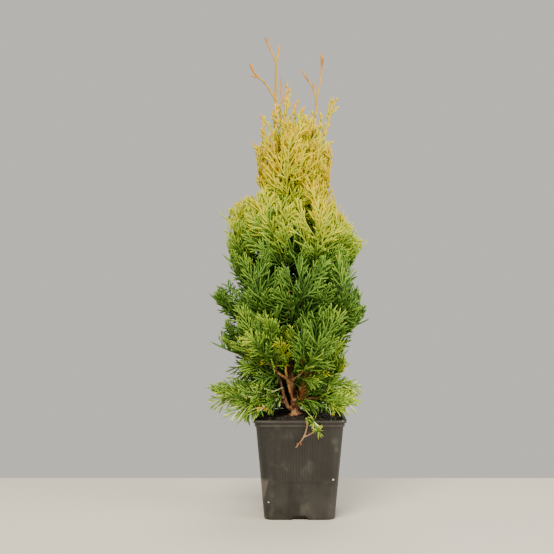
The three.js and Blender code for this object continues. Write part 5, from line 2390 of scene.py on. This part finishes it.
@dataclass(frozen=True)
class SoftBox:
    """A square light that looks at the plant's middle. Its place and side are in metres."""

    name: str
    place: Triple
    side: float
    watts: float
    colour: Colour

    AIM = (0.0, 0.0, 0.25)

    def build(self) -> None:
        """Makes the light."""
        data = bpy.data.lights.new(self.name, "AREA")
        data.shape = "SQUARE"
        data.size = self.side
        data.energy = self.watts
        data.color = self.colour
        thing = placed(self.name, data)
        thing.location = self.place
        aim = Vector(self.AIM) - Vector(self.place)
        thing.rotation_euler = aim.to_track_quat("-Z", "Y").to_euler()


@dataclass(frozen=True)
class Studio:
    """The camera at the photograph's place, a plain pale table top and soft light."""

    eye: Triple = (-22.0, -1071.0, 235.3)
    focal_pixels: float = 1071.6
    picture: int = 554
    sensor: float = 36.0
    nearest: float = 0.01
    table: tuple[float, float, float, float] = (-1500, 1500, -1500, 183)
    wall: Colour = (0.8, 0.77, 0.695)
    wall_strength: float = 0.82
    ambient: float = 0.55

    TABLE = StageFinish("pale_table", "cbc3b7")
    LIGHTS = (
        SoftBox("key", (-0.3, -1.0, 1.45), 0.7, 43, (1.0, 0.96, 0.81)),
        SoftBox("fill", (1.1, -0.8, 0.6), 1.0, 22, (1.0, 0.96, 0.84)),
        SoftBox("top", (0.1, 0.5, 1.5), 0.8, 14, (1.0, 0.97, 0.9)),
    )

    def camera(self) -> None:
        """Makes the scene's camera, level and looking along +Y."""
        data = bpy.data.cameras.new("camera")
        data.sensor_width = self.sensor
        data.lens = self.focal_pixels / self.picture * self.sensor
        data.clip_start = self.nearest
        thing = placed("camera", data)
        thing.location = Vector(self.eye) * METRES
        thing.rotation_euler = (math.pi / 2, 0, 0)
        bpy.context.scene.camera = thing

    def floor(self) -> None:
        """Makes the table top."""
        left, right, front, back = self.table
        mesh = bpy.data.meshes.new("table_top")
        corners = [(left, front, 0), (right, front, 0), (right, back, 0), (left, back, 0)]
        mesh.from_pydata([Vector(corner) * METRES for corner in corners], [], [(0, 1, 2, 3)])
        mesh.materials.append(made(self.TABLE))
        placed("table_top", mesh)

    def world(self) -> None:
        """Makes the plain warm surroundings: one strength for what is seen, one for the light."""
        world = bpy.data.worlds.new("studio")
        world.use_nodes = True
        nodes, links = world.node_tree.nodes, world.node_tree.links
        seen = nodes["Background"]
        unseen = nodes.new("ShaderNodeBackground")
        for background, strength in ((seen, self.wall_strength), (unseen, self.ambient)):
            background.inputs["Color"].default_value = (*self.wall, 1)
            background.inputs["Strength"].default_value = strength
        either = nodes.new("ShaderNodeMixShader")
        links.new(nodes.new("ShaderNodeLightPath").outputs["Is Camera Ray"], either.inputs[0])
        links.new(unseen.outputs[0], either.inputs[1])
        links.new(seen.outputs[0], either.inputs[2])
        links.new(either.outputs[0], nodes["World Output"].inputs["Surface"])
        bpy.context.scene.world = world

    def build(self) -> None:
        """Makes camera, floor, lights and surroundings."""
        self.camera()
        self.floor()
        self.world()
        for light in self.LIGHTS:
            light.build()


def main() -> None:
    """Builds every piece in order."""
    Studio().build()
    plant = Plant()
    plant.dress_limbs()
    plant.dress_twigs()
    plant.dress_masses()
    LOW_SPRAYS.dress(plant.keeper(1, True))
    TOP_SPRAYS.dress(plant.keeper(2, True))
    for tip in LEADER_TIPS:
        tip.dress()
    Sprig().dress()
    PotShell().dress()
    SoilBed().dress()


if __name__ == "__main__":
    main()
